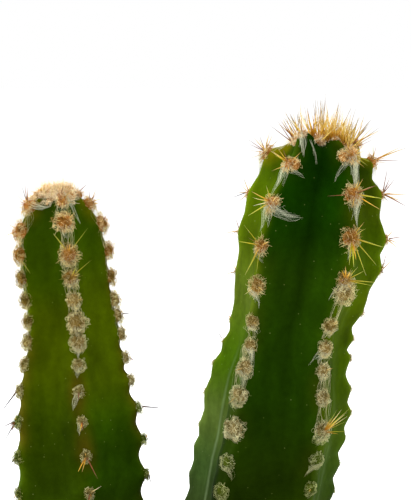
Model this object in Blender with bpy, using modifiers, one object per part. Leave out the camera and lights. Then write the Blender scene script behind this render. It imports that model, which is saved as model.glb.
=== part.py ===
"""A potted fairy castle cactus: two five-ribbed stems with woolly, spined areoles, in soil in a clay pot.

Units are metres, +Z is up. The origin is the centre of the pot's foot, on the surface that the pot stands on.
The plant faces -Y: rib angles are counted from -Y towards +X. Heights on a stem are counted from the soil.
"""

import bisect
import math
import random

import bmesh
import bpy
import numpy as np
from mathutils import Matrix, Vector, noise

MM = 0.001

# Pot. Its inside runs from the floor to the rim in (height, radius) points.
POT_HEIGHT = 0.080
POT_RIM_RADIUS = 0.046
POT_BAND_HEIGHT = 0.021
POT_BAND_FOOT_RADIUS = 0.0448
POT_BAND_SLOPE = 0.0025
POT_BODY_RADIUS = 0.0405
POT_FOOT_RADIUS = 0.031
POT_FOOT_RING = 0.006
POT_FOOT_RECESS = 0.0014
POT_FLOOR = 0.006
POT_INSIDE = ((0.006, 0.0265), (0.055, 0.0353), (0.061, 0.0382), (0.080, 0.0407))
POT_CORNER = 0.0014
DRAIN_RADIUS = 0.0055
POT_STEPS = 48

# Soil
SOIL_LEVEL = 0.070
SOIL_EDGE_DROP = 0.0012
SOIL_RELIEF = 0.0011
SOIL_RINGS = 7
SOIL_STEPS = 32
CLEARANCE = 0.0003
WALL_CLEARANCE = 0.00045
HOLE_TOP = 0.006

# Stems
AROUND_SHARES = (0.0, 0.16, 0.5, 0.84)
ROWS_AN_AREOLE = (0.0, 0.5)
APEX_ROWS = (0.35, 0.7)
RIB_SHARPNESS = 1.8
NOTCH_DEPTH = 0.0005
NOTCH_FADES_BELOW = 0.004
LOWEST_AREOLE = 0.0055
FOOT_TOP = 0.0018
FOOT_ROWS = 6

# Each outline is the rib crest's radius and height, from the apex down to the buried foot.
# lean, depth, twist, tilt, spacing and groove are (height, value) pairs, joined by a smooth curve.
# Each rib's shifts are (row, rows further down) pairs: how far its areoles sit off the even rings.
RIGHT_STEM = {
    "name": "stem_right",
    "seed": 11,
    "ribs": (-109, -33, 33, 109, 180),
    "shifts": (
        ((0, -0.4), (1, 0.0), (2, 0.15), (4, 0.03), (5, 0.34), (7, 0.28), (9, 0.52), (10, 0.25), (12, 0.29)),
        ((0, -0.1), (1, 0.11), (3, 0.11), (5, -0.12), (7, -0.22), (8, -0.18), (10, 0.03)),
        ((0, -0.6), (1, -0.44), (2, -0.25), (4, -0.25), (5, -0.07), (8, -0.12), (9, 0.0), (11, -0.09)),
        ((1, 0.0), (2, -0.11), (3, -0.02), (4, -0.22), (6, 0.13), (7, 0.05), (8, 0.25), (9, 0.1),
         (12, -0.15)),
        ((0, 0.0), (1, 0.1), (5, 0.3), (12, 0.2)),
    ),
    "outline": (
        (0.0, 0.0944), (0.0050, 0.0954), (0.0098, 0.0921), (0.0129, 0.084), (0.0142, 0.076),
        (0.0135, 0.068), (0.0122, 0.060), (0.0135, 0.052), (0.0145, 0.044), (0.0144, 0.024),
        (0.0117, 0.002), (0.0088, -0.012), (0.0, -0.019),
    ),
    "lean": ((-0.019, 0.0144), (0.0, 0.0148), (0.022, 0.0171), (0.036, 0.0193), (0.044, 0.0209),
             (0.052, 0.0216), (0.060, 0.0234), (0.072, 0.0262), (0.084, 0.0275), (0.095, 0.0286)),
    "depth": ((-0.019, 0.001), (0.095, -0.001)),
    "twist": ((0.050, -1.5), (0.056, -3.0), (0.063, -7.0), (0.072, -8.0), (0.086, -5.5), (0.093, -1.0)),
    "tilt": ((0.060, 0.0), (0.082, 0.08)),
    "groove": ((-0.012, 0.02), (0.002, 0.10), (0.020, 0.24), (0.070, 0.27), (0.088, 0.33), (0.0946, 0.40)),
    "first_areole": 0.0070,
    "spacing": ((0.0, 0.0050), (0.039, 0.0053), (0.046, 0.0057), (0.055, 0.0048), (0.059, 0.0040),
                (0.0634, 0.0042), (0.069, 0.0072), (0.086, 0.0076), (0.092, 0.0068), (0.0946, 0.0046)),
    "cushion": 0.0017,
    "spine_length": 0.0066,
}
LEFT_STEM = {
    "name": "stem_left",
    "seed": 23,
    "ribs": (-72, 0, 72, 144, 216),
    "shifts": (
        ((0, 0.0), (1, 0.12), (12, 0.13)),
        ((0, 0.0), (2, -0.31), (3, -0.05), (8, -0.08), (12, -0.16)),
        ((1, 0.06), (2, -0.09), (4, 0.19), (5, 0.22), (6, -0.07), (7, -0.12), (8, -0.01), (9, -0.15),
         (12, -0.22)),
        ((0, 0.0), (2, 0.3), (12, 0.3)),
        ((0, 0.0), (2, 0.12), (12, 0.2)),
    ),
    "outline": (
        (0.0, 0.0842), (0.0036, 0.0850), (0.0064, 0.0825), (0.0083, 0.078), (0.0087, 0.074),
        (0.0087, 0.066), (0.0093, 0.058), (0.0109, 0.050), (0.0121, 0.042), (0.0126, 0.030),
        (0.0122, 0.018), (0.0102, 0.002), (0.0074, -0.012), (0.0, -0.018),
    ),
    "lean": ((-0.018, -0.0150), (0.020, -0.0152), (0.042, -0.0154), (0.051, -0.0160), (0.060, -0.0162),
             (0.070, -0.0177), (0.085, -0.0186)),
    "depth": ((-0.018, 0.003), (0.085, 0.003)),
    "twist": ((0.030, 12.5), (0.048, 8.0), (0.060, 10.0), (0.070, 13.0)),
    "tilt": ((0.060, 0.0), (0.080, 0.0)),
    "groove": ((-0.012, 0.02), (0.002, 0.10), (0.020, 0.22), (0.060, 0.24), (0.078, 0.30), (0.0842, 0.36)),
    "first_areole": 0.0034,
    "spacing": ((0.0, 0.0066), (0.036, 0.0068), (0.044, 0.0066), (0.0497, 0.0056), (0.055, 0.0049),
                (0.059, 0.0040), (0.0625, 0.0036), (0.067, 0.0040), (0.078, 0.0043), (0.0825, 0.0046),
                (0.0838, 0.0050), (0.0850, 0.0027)),
    "cushion": 0.0015,
    "spine_length": 0.0037,
}
STEMS = (RIGHT_STEM, LEFT_STEM)
STEM_GAP = 0.0012

# Areoles: the cushion's height and sink are shares of its radius. Spine counts go from the crown down.
CUSHION_HEIGHT = 0.9
CUSHION_SINK = 0.4
SPINE_COUNTS = (6, 5, 4, 3, 2, 1)
LOW_SPINE_SHARE = 0.35
APEX_CUSHION_SHARE = 1.45
SPINE_RADIUS = 0.00019
SPINE_SIDES = 3
SPINE_ROOT = 0.0007
CROWN_FIRST_TILT = 12
CROWN_LAST_TILT = 44
FLANK_FIRST_TILT = 38
FLANK_LAST_TILT = 68

GREEN = (0.045, 0.115, 0.012)
CLAY = (0.48, 0.20, 0.10)
EARTH = (0.055, 0.036, 0.024)


def smooth_curve(points):
    """A monotone cubic through (position, value) pairs, flat beyond its ends."""
    pairs = sorted(points)
    xs = [p[0] for p in pairs]
    ys = [p[1] for p in pairs]
    slopes = [(ys[i + 1] - ys[i]) / (xs[i + 1] - xs[i]) for i in range(len(xs) - 1)]
    tangents = [0.0] * len(xs)
    for i in range(1, len(xs) - 1):
        before, after = slopes[i - 1], slopes[i]
        if before * after > 0:
            tangents[i] = 2 * before * after / (before + after)

    def value(x):
        if x <= xs[0]:
            return ys[0]
        if x >= xs[-1]:
            return ys[-1]
        i = bisect.bisect_right(xs, x) - 1
        width = xs[i + 1] - xs[i]
        t = (x - xs[i]) / width
        rise = t * t * (3 - 2 * t)
        into = t * (1 - t) ** 2 * width * tangents[i]
        out = t * t * (t - 1) * width * tangents[i + 1]
        return ys[i] + (ys[i + 1] - ys[i]) * rise + into + out

    return value


class Stem:
    """The surface of a ribbed stem: a point for each distance down the crest and each place round it."""

    def __init__(self, plan):
        self.plan = plan
        distance = 0.0
        along = [(0.0, *plan["outline"][0])]
        for (r0, h0), (r1, h1) in zip(plan["outline"], plan["outline"][1:]):
            distance += math.hypot(r1 - r0, h1 - h0)
            along.append((distance, r1, h1))
        self.length = distance
        self.crest_radius = smooth_curve([(s, r) for s, r, _ in along])
        self.crest_height = smooth_curve([(s, h) for s, _, h in along])
        self.lean = smooth_curve(plan["lean"])
        self.depth = smooth_curve(plan["depth"])
        self.twist = smooth_curve(plan["twist"])
        self.tilt = smooth_curve(plan["tilt"])
        self.groove = smooth_curve(plan["groove"])
        self.shifts = [smooth_curve(pairs) for pairs in plan["shifts"]]
        self.radius_at = smooth_curve([(h, r) for r, h in plan["outline"][1:]])
        self.stations = self.areole_stations()
        start = self.distance_at(FOOT_TOP)
        self.foot_rows = [start + (self.length - start) * i / FOOT_ROWS for i in range(FOOT_ROWS)]

    def distance_at(self, height):
        """Distance down the crest to a height, below the apex."""
        distance = 0.0
        while self.crest_height(distance) > height:
            distance += 0.1 * MM
        return distance

    def areole_stations(self):
        """Distances down the crest at which the rings of areoles sit."""
        spacing = smooth_curve(self.plan["spacing"])
        stations = [self.plan["first_areole"]]
        while self.crest_height(stations[-1]) > LOWEST_AREOLE:
            step = spacing(self.crest_height(stations[-1]))
            stations.append(stations[-1] + step)
        return stations[:-1]

    def gap(self, place):
        """The rib before a place round the stem, the next one, and the place's share of the way between."""
        rib = math.floor(place) % 5
        return rib, (rib + 1) % 5, place - math.floor(place)

    def angle(self, place):
        rib, after, share = self.gap(place)
        ribs = self.plan["ribs"]
        width = (ribs[after] - ribs[rib]) % 360
        return math.radians(ribs[rib] + width * share)

    def row_distance(self, row, place):
        """Distance down the crest of a row counted in areoles, which follows each rib's own shift."""
        rib, after, share = self.gap(place)
        blend = share * share * (3 - 2 * share)
        row += self.shifts[rib](row) * (1 - blend) + self.shifts[after](row) * blend
        low = max(0, min(int(row), len(self.stations) - 2))
        step = self.stations[low + 1] - self.stations[low]
        return self.stations[low] + step * (row - low)

    def point(self, distance, place, row=None, swell=0.0):
        """A point of the skin. A row sets the notches between areoles, and swell moves the point outwards."""
        share = self.gap(place)[2]
        crest = (0.5 + 0.5 * math.cos(2 * math.pi * share)) ** RIB_SHARPNESS
        radius, height = self.crest_radius(distance), self.crest_height(distance)
        ahead, behind = distance + 0.3 * MM, max(0.0, distance - 0.3 * MM)
        run = self.crest_radius(ahead) - self.crest_radius(behind)
        fall = self.crest_height(behind) - self.crest_height(ahead)
        outward = Vector((fall, run)).normalized() if distance > 0.3 * MM else Vector((0.0, 1.0))
        inset = self.groove(height) * radius * (1 - crest)
        if row is not None and height > 0:
            fade = min(1.0, height / NOTCH_FADES_BELOW) * min(1.0, radius / (4 * MM))
            inset += NOTCH_DEPTH * crest * fade * math.sin(math.pi * (row % 1.0)) ** 1.2
        radius = max(0.0, radius - outward.x * inset) + outward.x * swell
        height += outward.y * (swell - inset)
        turn = self.angle(place) + math.radians(self.twist(height))
        x, y = radius * math.sin(turn), -radius * math.cos(turn)
        height -= self.tilt(height) * x
        return Vector((self.lean(height) + x, self.depth(height) + y, SOIL_LEVEL + height))

    def areoles(self):
        """Each areole's station number, rib, foot on the crest, outward direction and direction up the rib.

        The first is the growing tip, which has no rib.
        """
        level = self.tilt(self.plan["outline"][0][1])
        found = [(0, None, self.centre(0.0), Vector((level, 0, 1)).normalized(), Vector((0, 1, 0)))]
        for number in range(len(self.stations)):
            for rib in range(5):
                distance = self.row_distance(number, rib)
                foot = self.point(distance, rib, number)
                up = self.point(distance - 0.4 * MM, rib) - self.point(distance + 0.4 * MM, rib)
                across = self.point(distance, rib + 0.02) - self.point(distance, rib - 0.02)
                up.normalize()
                out = across.cross(up).normalized()
                found.append((number, rib, foot, out, up))
        return found

    def axis_clearance(self, point):
        """How far a point lies outside this stem's crest radius, at the point's own height."""
        height = point.z - SOIL_LEVEL
        return math.hypot(point.x - self.lean(height), point.y - self.depth(height)) - self.radius_at(height)

    def centre(self, distance):
        """The point of the stem's axis level with a crest point."""
        height = self.crest_height(distance)
        return Vector((self.lean(height), self.depth(height), SOIL_LEVEL + height))


def clear_scene():
    for obj in list(bpy.data.objects):
        bpy.data.objects.remove(obj)


def collection(name):
    made = bpy.data.collections.new(name)
    bpy.context.scene.collection.children.link(made)
    return made


def material(name, colour, roughness):
    made = bpy.data.materials.new(name)
    made.use_nodes = True
    shader = made.node_tree.nodes["Principled BSDF"]
    shader.inputs["Base Color"].default_value = (*colour, 1.0)
    shader.inputs["Roughness"].default_value = roughness
    shader.inputs["Metallic"].default_value = 0.0
    return made


def object_from(mesh_maker, name, home):
    """A new object in a collection, whose mesh the given function fills."""
    mesh = bpy.data.meshes.new(name)
    shape = bmesh.new()
    mesh_maker(shape)
    shape.to_mesh(mesh)
    shape.free()
    made = bpy.data.objects.new(name, mesh)
    home.objects.link(made)
    return made


def apply_modifiers(obj):
    bpy.context.view_layer.update()
    graph = bpy.context.evaluated_depsgraph_get()
    baked = bpy.data.meshes.new_from_object(obj.evaluated_get(graph))
    obj.modifiers.clear()
    obj.data = baked


def keep_largest_body(obj):
    """Drops the loose scraps that a union can leave."""
    shape = bmesh.new()
    shape.from_mesh(obj.data)
    waiting = set(shape.verts)
    bodies = []
    while waiting:
        body = [waiting.pop()]
        for vert in body:
            neighbours = {edge.other_vert(vert) for edge in vert.link_edges} & waiting
            waiting -= neighbours
            body.extend(neighbours)
        bodies.append(body)
    bodies.sort(key=len)
    loose = [vert for body in bodies[:-1] for vert in body]
    bmesh.ops.delete(shape, geom=loose, context="VERTS")
    shape.to_mesh(obj.data)
    shape.free()


def bevelled_outline(corners, bevelled, radius):
    """A closed outline, cut across where an arc would touch it at each corner whose number is in bevelled."""
    outline = []
    for i, corner in enumerate(corners):
        here = Vector(corner)
        if i not in bevelled:
            outline.append(here)
            continue
        before = (Vector(corners[i - 1]) - here).normalized()
        after = (Vector(corners[(i + 1) % len(corners)]) - here).normalized()
        reach = radius / math.tan(before.angle(after) / 2)
        outline += [here + before * reach, here + after * reach]
    return outline


def turned(name, outline, steps, home, closed):
    """A solid of revolution. The outline holds (radius, height) points that run down its outer side."""
    mesh = bpy.data.meshes.new(name)
    points = [(p[0], 0.0, p[1]) for p in outline]
    links = [(i, i + 1) for i in range(len(points) - 1)]
    if closed:
        links.append((len(points) - 1, 0))
    mesh.from_pydata(points, links, [])
    made = bpy.data.objects.new(name, mesh)
    home.objects.link(made)
    screw = made.modifiers.new("turn", "SCREW")
    screw.steps = steps
    screw.render_steps = steps
    screw.use_merge_vertices = True
    screw.merge_threshold = 0.00005
    return made


def inside_radius(height):
    """The pot's inside radius at a height."""
    heights, radii = zip(*POT_INSIDE)
    return float(np.interp(height, heights, radii))


def build_pot(home, clay):
    band = POT_HEIGHT - POT_BAND_HEIGHT
    ring = POT_FOOT_RADIUS - POT_FOOT_RING
    corners = [
        (POT_RIM_RADIUS, POT_HEIGHT),
        (POT_BAND_FOOT_RADIUS, band),
        (POT_BODY_RADIUS, band - POT_BAND_SLOPE),
        (POT_FOOT_RADIUS, 0.0),
        (ring, 0.0),
        (ring - POT_FOOT_RECESS, POT_FOOT_RECESS),
        (DRAIN_RADIUS, POT_FOOT_RECESS),
        (DRAIN_RADIUS, POT_FLOOR),
    ]
    corners += [(radius, height) for height, radius in POT_INSIDE]
    outline = bevelled_outline(corners, {0, 1, 3, len(corners) - 1}, POT_CORNER)
    pot = turned("pot", outline, POT_STEPS, home, closed=True)
    pot.data.materials.append(clay)
    apply_modifiers(pot)
    pot.data.shade_smooth()
    pot.data.set_sharp_from_angle(angle=math.radians(35))
    return pot


def build_soil(home, helpers, earth, stems):
    """The potting mix, with a slightly lumpy top and a hole for each stem's foot."""
    edge = SOIL_LEVEL - SOIL_EDGE_DROP
    rim = inside_radius(edge) - WALL_CLEARANCE
    outline = [(rim * i / SOIL_RINGS, SOIL_LEVEL) for i in range(SOIL_RINGS)]
    outline.append((rim, edge))
    outline += [(radius - WALL_CLEARANCE, height) for height, radius in POT_INSIDE[2:0:-1]]
    floor = POT_FLOOR + CLEARANCE
    outline += [(inside_radius(floor) - WALL_CLEARANCE, floor), (0.0, floor)]
    soil = turned("soil", outline, SOIL_STEPS, home, closed=False)
    soil.data.materials.append(earth)
    apply_modifiers(soil)
    for vert in soil.data.vertices:
        if vert.co.z > SOIL_LEVEL - 0.1 * MM:
            lump = noise.noise(vert.co * 210) + 0.5 * noise.noise(vert.co * 520)
            vert.co.z += SOIL_RELIEF * lump
    for stem in stems:
        cut = soil.modifiers.new("hole", "BOOLEAN")
        cut.operation = "DIFFERENCE"
        cut.object = foot_cutter(stem, helpers)
    apply_modifiers(soil)
    return soil


def foot_cutter(stem, helpers):
    """The hole that a stem's foot stands in: the foot itself, grown by the clearance."""
    distances = [stem.distance_at(HOLE_TOP)] + stem.foot_rows

    def shape_it(shape):
        tube(shape, len(distances) - 1)
        for vert in shape.verts:
            place, row = vert_place(vert)
            if place is not None:
                vert.co = stem.point(distances[row], place, swell=CLEARANCE)
            elif row == 0:
                vert.co = stem.centre(distances[0])
            else:
                vert.co = stem.centre(stem.length) - Vector((0, 0, CLEARANCE))

    cutter = object_from(shape_it, stem.plan["name"] + "_hole", helpers)
    cutter.hide_render = True
    cutter.display_type = "WIRE"
    return cutter


def tube(shape, rows):
    """A capped tube of unit radius with its rows one unit apart, from row 0 at the top."""
    around = 5 * len(AROUND_SHARES)
    made = bmesh.ops.create_cone(
        shape, cap_ends=True, cap_tris=True, segments=around, radius1=1.0, radius2=1.0, depth=rows
    )
    bmesh.ops.translate(shape, verts=made["verts"], vec=(0, 0, -rows / 2))
    upright = [e for e in shape.edges if abs(e.verts[0].co.z - e.verts[1].co.z) > 0.5]
    bmesh.ops.subdivide_edges(shape, edges=upright, cuts=rows - 1, use_grid_fill=True)


def vert_place(vert):
    """The place round the stem, counted in ribs, and the row of a vertex. A cap's centre has no place."""
    row = round(-vert.co.z)
    if math.hypot(vert.co.x, vert.co.y) < 0.5:
        return None, row
    around = 5 * len(AROUND_SHARES)
    step = round(math.atan2(vert.co.y, vert.co.x) / (2 * math.pi) * around) % around
    rib, share = divmod(step, len(AROUND_SHARES))
    return rib + AROUND_SHARES[share], row


def build_skin(stem, home):
    """The green flesh of a stem: a tube whose rows follow the areoles, moved onto the ribbed surface."""
    last = len(stem.stations) - 1
    rows = [("apex", share) for share in APEX_ROWS]
    rows += [("areole", n + share) for n in range(last) for share in ROWS_AN_AREOLE]
    rows.append(("areole", float(last)))
    rows += [("foot", distance) for distance in stem.foot_rows]

    def shape_it(shape):
        tube(shape, len(rows) - 1)
        for vert in shape.verts:
            place, row = vert_place(vert)
            kind, value = rows[min(row, len(rows) - 1)]
            if place is None:
                vert.co = stem.centre(0.0 if row == 0 else stem.length)
            elif kind == "apex":
                vert.co = stem.point(stem.row_distance(0, place) * value, place)
            elif kind == "areole":
                vert.co = stem.point(stem.row_distance(value, place), place, value)
            else:
                vert.co = stem.point(value, place)

    skin = object_from(shape_it, stem.plan["name"], home)
    shape = bmesh.new()
    shape.from_mesh(skin.data)
    bmesh.ops.recalc_face_normals(shape, faces=shape.faces)
    shape.to_mesh(skin.data)
    shape.free()
    return skin


def frame_matrix(origin, out, up):
    side = up.cross(out).normalized()
    up = out.cross(side)
    turn = Matrix((side, up, out)).transposed().to_4x4()
    return Matrix.Translation(origin) @ turn


def add_cushion(stem, areole, draw, home):
    """The pad of wool on an areole: a low icosahedron, sunk into the crest."""
    number, rib, foot, out, up = areole
    radius = stem.plan["cushion"] * (0.8 if number == 0 else draw.uniform(0.9, 1.08))
    if rib is None:
        radius = stem.plan["cushion"] * APEX_CUSHION_SHARE

    def shape_it(shape):
        bmesh.ops.create_icosphere(shape, subdivisions=1, radius=1.0)
        turn = Matrix.Rotation(draw.uniform(0, 2 * math.pi), 4, "Z")
        size = Matrix.Diagonal((radius, radius, radius * CUSHION_HEIGHT, 1.0))
        place = frame_matrix(foot - out * radius * CUSHION_SINK, out, up)
        bmesh.ops.transform(shape, matrix=place @ size @ turn, verts=shape.verts)

    object_from(shape_it, f"cushion_{number}", home)


def add_spine(origin, direction, length, home):
    """A three-sided needle with its root sunk into the cushion."""

    def shape_it(shape):
        made = bmesh.ops.create_cone(
            shape, cap_ends=True, segments=SPINE_SIDES,
            radius1=SPINE_RADIUS, radius2=0.0, depth=length + SPINE_ROOT,
        )
        lift = Matrix.Translation((0, 0, (length - SPINE_ROOT) / 2))
        turn = direction.to_track_quat("Z", "Y").to_matrix().to_4x4()
        place = Matrix.Translation(origin) @ turn @ lift
        bmesh.ops.transform(shape, matrix=place, verts=made["verts"])

    object_from(shape_it, "spine", home)


def add_spines(stem, areole, draw, home, others):
    """The needles of an areole, fanned evenly round it, more of them and steeper near the crown."""
    number, _, foot, out, up = areole
    count = SPINE_COUNTS[min(number, len(SPINE_COUNTS) - 1)]
    if number >= len(SPINE_COUNTS):
        count = 1 if draw.random() < LOW_SPINE_SHARE else 0
    side = up.cross(out)
    crown = number == 0
    first, last = (CROWN_FIRST_TILT, CROWN_LAST_TILT) if crown else (FLANK_FIRST_TILT, FLANK_LAST_TILT)
    start = draw.uniform(0, 2 * math.pi)
    for i in range(count):
        around = start + 2 * math.pi * (i + draw.uniform(-0.2, 0.2)) / count
        tilt = math.radians(draw.uniform(first, last))
        direction = out * math.cos(tilt) + (side * math.cos(around) + up * math.sin(around)) * math.sin(tilt)
        direction.normalize()
        age = min(1.0, number / 6)
        length = stem.plan["spine_length"] * (1.05 - 0.4 * age) * draw.uniform(0.8, 1.1)
        origin = foot + out * stem.plan["cushion"] * 0.25
        tip = origin + direction * length
        blocked = any(other.axis_clearance(tip) < STEM_GAP for other in others)
        if tip.z < SOIL_LEVEL + 0.004 or blocked:
            continue
        add_spine(origin, direction, length, home)


def build_stem(stem, home, helpers, green, others):
    """A stem as one solid: its skin, with every cushion and needle joined to it."""
    skin = build_skin(stem, home)
    draw = random.Random(stem.plan["seed"])
    repeats = bpy.data.collections.new(stem.plan["name"] + "_repeats")
    helpers.children.link(repeats)
    for areole in stem.areoles():
        add_cushion(stem, areole, draw, repeats)
        add_spines(stem, areole, draw, repeats, others)
    join = skin.modifiers.new("join", "BOOLEAN")
    join.operation = "UNION"
    join.operand_type = "COLLECTION"
    join.collection = repeats
    apply_modifiers(skin)
    for obj in list(repeats.objects):
        bpy.data.objects.remove(obj)
    bpy.data.collections.remove(repeats)
    keep_largest_body(skin)
    skin.data.materials.clear()
    skin.data.materials.append(green)
    skin.data.shade_smooth()
    skin.data.set_sharp_from_angle(angle=math.radians(50))
    return skin


def main():
    clear_scene()
    home = collection("potted_fairy_castle_cactus")
    helpers = collection("cutters")
    green = material("cactus_skin", GREEN, 0.5)
    clay = material("clay", CLAY, 0.85)
    earth = material("earth", EARTH, 0.95)
    stems = [Stem(plan) for plan in STEMS]
    build_pot(home, clay)
    build_soil(home, helpers, earth, stems)
    for stem in stems:
        others = [other for other in stems if other is not stem]
        build_stem(stem, home, helpers, green, others)


main()
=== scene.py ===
import math

import bmesh
import bpy
import numpy as np
from mathutils import Matrix, Vector, noise


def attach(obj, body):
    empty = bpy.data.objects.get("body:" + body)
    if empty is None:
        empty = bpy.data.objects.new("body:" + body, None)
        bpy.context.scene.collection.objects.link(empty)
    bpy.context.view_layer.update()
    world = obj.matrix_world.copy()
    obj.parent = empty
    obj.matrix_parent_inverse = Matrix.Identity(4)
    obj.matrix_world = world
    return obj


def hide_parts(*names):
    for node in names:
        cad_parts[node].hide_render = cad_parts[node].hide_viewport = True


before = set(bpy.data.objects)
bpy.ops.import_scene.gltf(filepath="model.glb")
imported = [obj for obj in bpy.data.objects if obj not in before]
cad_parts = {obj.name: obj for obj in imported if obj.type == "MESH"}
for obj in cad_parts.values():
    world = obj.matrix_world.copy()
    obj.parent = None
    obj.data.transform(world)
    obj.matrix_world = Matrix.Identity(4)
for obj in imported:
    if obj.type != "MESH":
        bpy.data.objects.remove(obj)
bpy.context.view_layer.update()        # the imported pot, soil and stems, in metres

mm = 0.001


# curves and colours

def paint(colour):  # colours as a screen shows them, 0 to 255, made linear
    share = np.clip(np.asarray(colour, float) / 255, 0, 1)
    return np.where(share <= 0.04045, share / 12.92, ((share + 0.055) / 1.055) ** 2.4)


def smoothCurve(pairs):  # monotone cubic through (position, value) pairs, flat beyond its ends
    pairs = sorted(pairs)
    xs = np.array([p[0] for p in pairs], float)
    ys = np.array([p[1] for p in pairs], float)
    slopes = np.diff(ys) / np.diff(xs)
    tangents = np.zeros(len(xs))
    for i in range(1, len(xs) - 1):
        if slopes[i - 1] * slopes[i] > 0:
            tangents[i] = 2 * slopes[i - 1] * slopes[i] / (slopes[i - 1] + slopes[i])

    def value(x):
        x = np.clip(np.asarray(x, float), xs[0], xs[-1])
        i = np.clip(np.searchsorted(xs, x, side="right") - 1, 0, len(xs) - 2)
        width = xs[i + 1] - xs[i]
        t = (x - xs[i]) / width
        rise = t * t * (3 - 2 * t)
        return (ys[i] + (ys[i + 1] - ys[i]) * rise + t * (1 - t) ** 2 * width * tangents[i]
                + t * t * (t - 1) * width * tangents[i + 1])

    return value


def colourCurve(pairs):  # (position, screen colour) pairs to a linear colour at any position
    channels = [smoothCurve([(at, colour[c]) for at, colour in pairs]) for c in range(3)]
    return lambda x: paint(np.stack([channel(x) for channel in channels], axis=-1))


def blend(a, b, share):
    return a + (b - a) * share


def rising(x, start, width):  # 0 up to start, then up to 1 over the width
    return np.clip((x - start) / width, 0, 1)


def bell(x, middle, width):
    return np.exp(-((x - middle) / width) ** 2)


def unit(v):
    return v / np.maximum(np.linalg.norm(v, axis=-1, keepdims=True), 1e-12)


def noiseAt(points, scale, shift=0.0):  # one noise value for each point, about -0.5 to 0.5
    flat = np.asarray(points).reshape(-1, 3) * scale + shift
    return np.array([noise.noise(p) for p in flat]).reshape(np.shape(points)[:-1])


# meshes gathered from many small shapes

def newBin():
    return {"points": [], "faces": [], "tints": [], "count": 0}


def addToBin(bin, points, faces, tints):  # faces is one array, or a list of arrays of triangles and quads
    points = np.asarray(points, float).reshape(-1, 3)
    bin["points"].append(points)
    bin["tints"].append(np.broadcast_to(np.asarray(tints, float), points.shape))
    for part in faces if isinstance(faces, list) else [faces]:
        bin["faces"].append(np.asarray(part, int) + bin["count"])
    bin["count"] += len(points)


def pieceFromBin(name, bin, material, replaced=None):
    points = np.concatenate(bin["points"]).astype(np.float32)
    loops = np.concatenate([f.ravel() for f in bin["faces"]]).astype(np.int32)
    totals = np.concatenate([np.full(len(f), f.shape[1]) for f in bin["faces"]])
    mesh = bpy.data.meshes.new(name)
    mesh.vertices.add(len(points))
    mesh.vertices.foreach_set("co", points.ravel())
    mesh.loops.add(len(loops))
    mesh.loops.foreach_set("vertex_index", loops)
    mesh.polygons.add(len(totals))
    mesh.polygons.foreach_set("loop_start", (np.cumsum(totals) - totals).astype(np.int32))
    mesh.polygons.foreach_set("use_smooth", np.full(len(totals), True))
    mesh.update(calc_edges=True)
    mesh.validate()
    rgba = np.ones((len(points), 4), np.float32)
    rgba[:, :3] = np.concatenate(bin["tints"])
    mesh.attributes.new("tint", "FLOAT_COLOR", "POINT").data.foreach_set("color", rgba.ravel())
    mesh.materials.append(material)
    piece = bpy.data.objects.new(name, mesh)
    bpy.context.scene.collection.objects.link(piece)
    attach(piece, "root")
    if replaced:
        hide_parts(replaced)
    print(name, "has", int((totals - 2).sum()), "triangles")


def addStrands(bin, paths, radii, tints, sides=3):
    # paths (n, k, 3), radii (n, k) and tints (n, k, 3) become n thin tubes with pointed ends
    paths = np.asarray(paths, float)
    n, k, _ = paths.shape
    along = unit(np.gradient(paths, axis=1))
    chord = paths[:, -1:] - paths[:, :1]
    guide = unit(np.cross(along[:, :1], chord + np.array([0.31, 0.57, 0.76]) * mm))
    side = unit(np.cross(along, np.broadcast_to(guide, along.shape)))
    up = np.cross(along, side)
    turn = np.arange(sides) / sides * 2 * math.pi
    ring = np.cos(turn)[:, None] * side[:, :, None] + np.sin(turn)[:, None] * up[:, :, None]
    points = paths[:, :, None] + ring * np.broadcast_to(radii, (n, k))[:, :, None, None]
    colours = np.broadcast_to(np.asarray(tints)[:, :, None], points.shape)
    strand = np.arange(n)[:, None, None] * k * sides
    row = np.arange(k - 1)[None, :, None] * sides
    here = np.arange(sides)[None, None]
    after = (here + 1) % sides
    quads = np.stack([strand + row + here, strand + row + after,
                      strand + row + sides + after, strand + row + sides + here], axis=-1)
    fan = np.arange(1, sides - 1)
    tip = np.arange(n)[:, None] * k * sides + (k - 1) * sides
    caps = np.stack([tip + 0 * fan, tip + fan, tip + fan + 1], axis=-1)
    addToBin(bin, points, [quads.reshape(-1, 4), caps.reshape(-1, 3)], colours.reshape(-1, 3))


def unitBall(subdivisions):
    shape = bmesh.new()
    bmesh.ops.create_icosphere(shape, subdivisions=subdivisions, radius=1.0)
    points = np.array([vert.co[:] for vert in shape.verts])
    faces = np.array([[vert.index for vert in face.verts] for face in shape.faces])
    shape.free()
    return points, faces


# node materials

def newMaterial(name, specular, roughness=0.6):
    material = bpy.data.materials.new(name)
    material.use_nodes = True
    shader = shaderOf(material)
    shader.inputs["Roughness"].default_value = roughness
    shader.inputs["Specular IOR Level"].default_value = specular
    return material


def shaderOf(material):
    return material.node_tree.nodes["Principled BSDF"]


def link(material, source, target):
    material.node_tree.links.new(source, target)


def texture(material, kind, output, **inputs):  # a 3-D texture in the piece's own space
    made = material.node_tree.nodes.new(kind)
    for key, value in inputs.items():
        made.inputs[key].default_value = value
    where = material.node_tree.nodes.new("ShaderNodeTexCoord")
    link(material, where.outputs["Object"], made.inputs["Vector"])
    return made.outputs[output]


def cloud(material, scale, detail=3.0, roughness=0.5):
    return texture(material, "ShaderNodeTexNoise", "Fac", Scale=scale, Detail=detail, Roughness=roughness)


def ramp(material, source, stops):  # stops are (position, grey) pairs
    made = material.node_tree.nodes.new("ShaderNodeValToRGB")
    elements = made.color_ramp.elements
    while len(elements) < len(stops):
        elements.new(0.5)
    for element, (position, grey) in zip(elements, stops):
        element.position = position
        element.color = (grey, grey, grey, 1)
    link(material, source, made.inputs["Fac"])
    return made.outputs["Color"]


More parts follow.
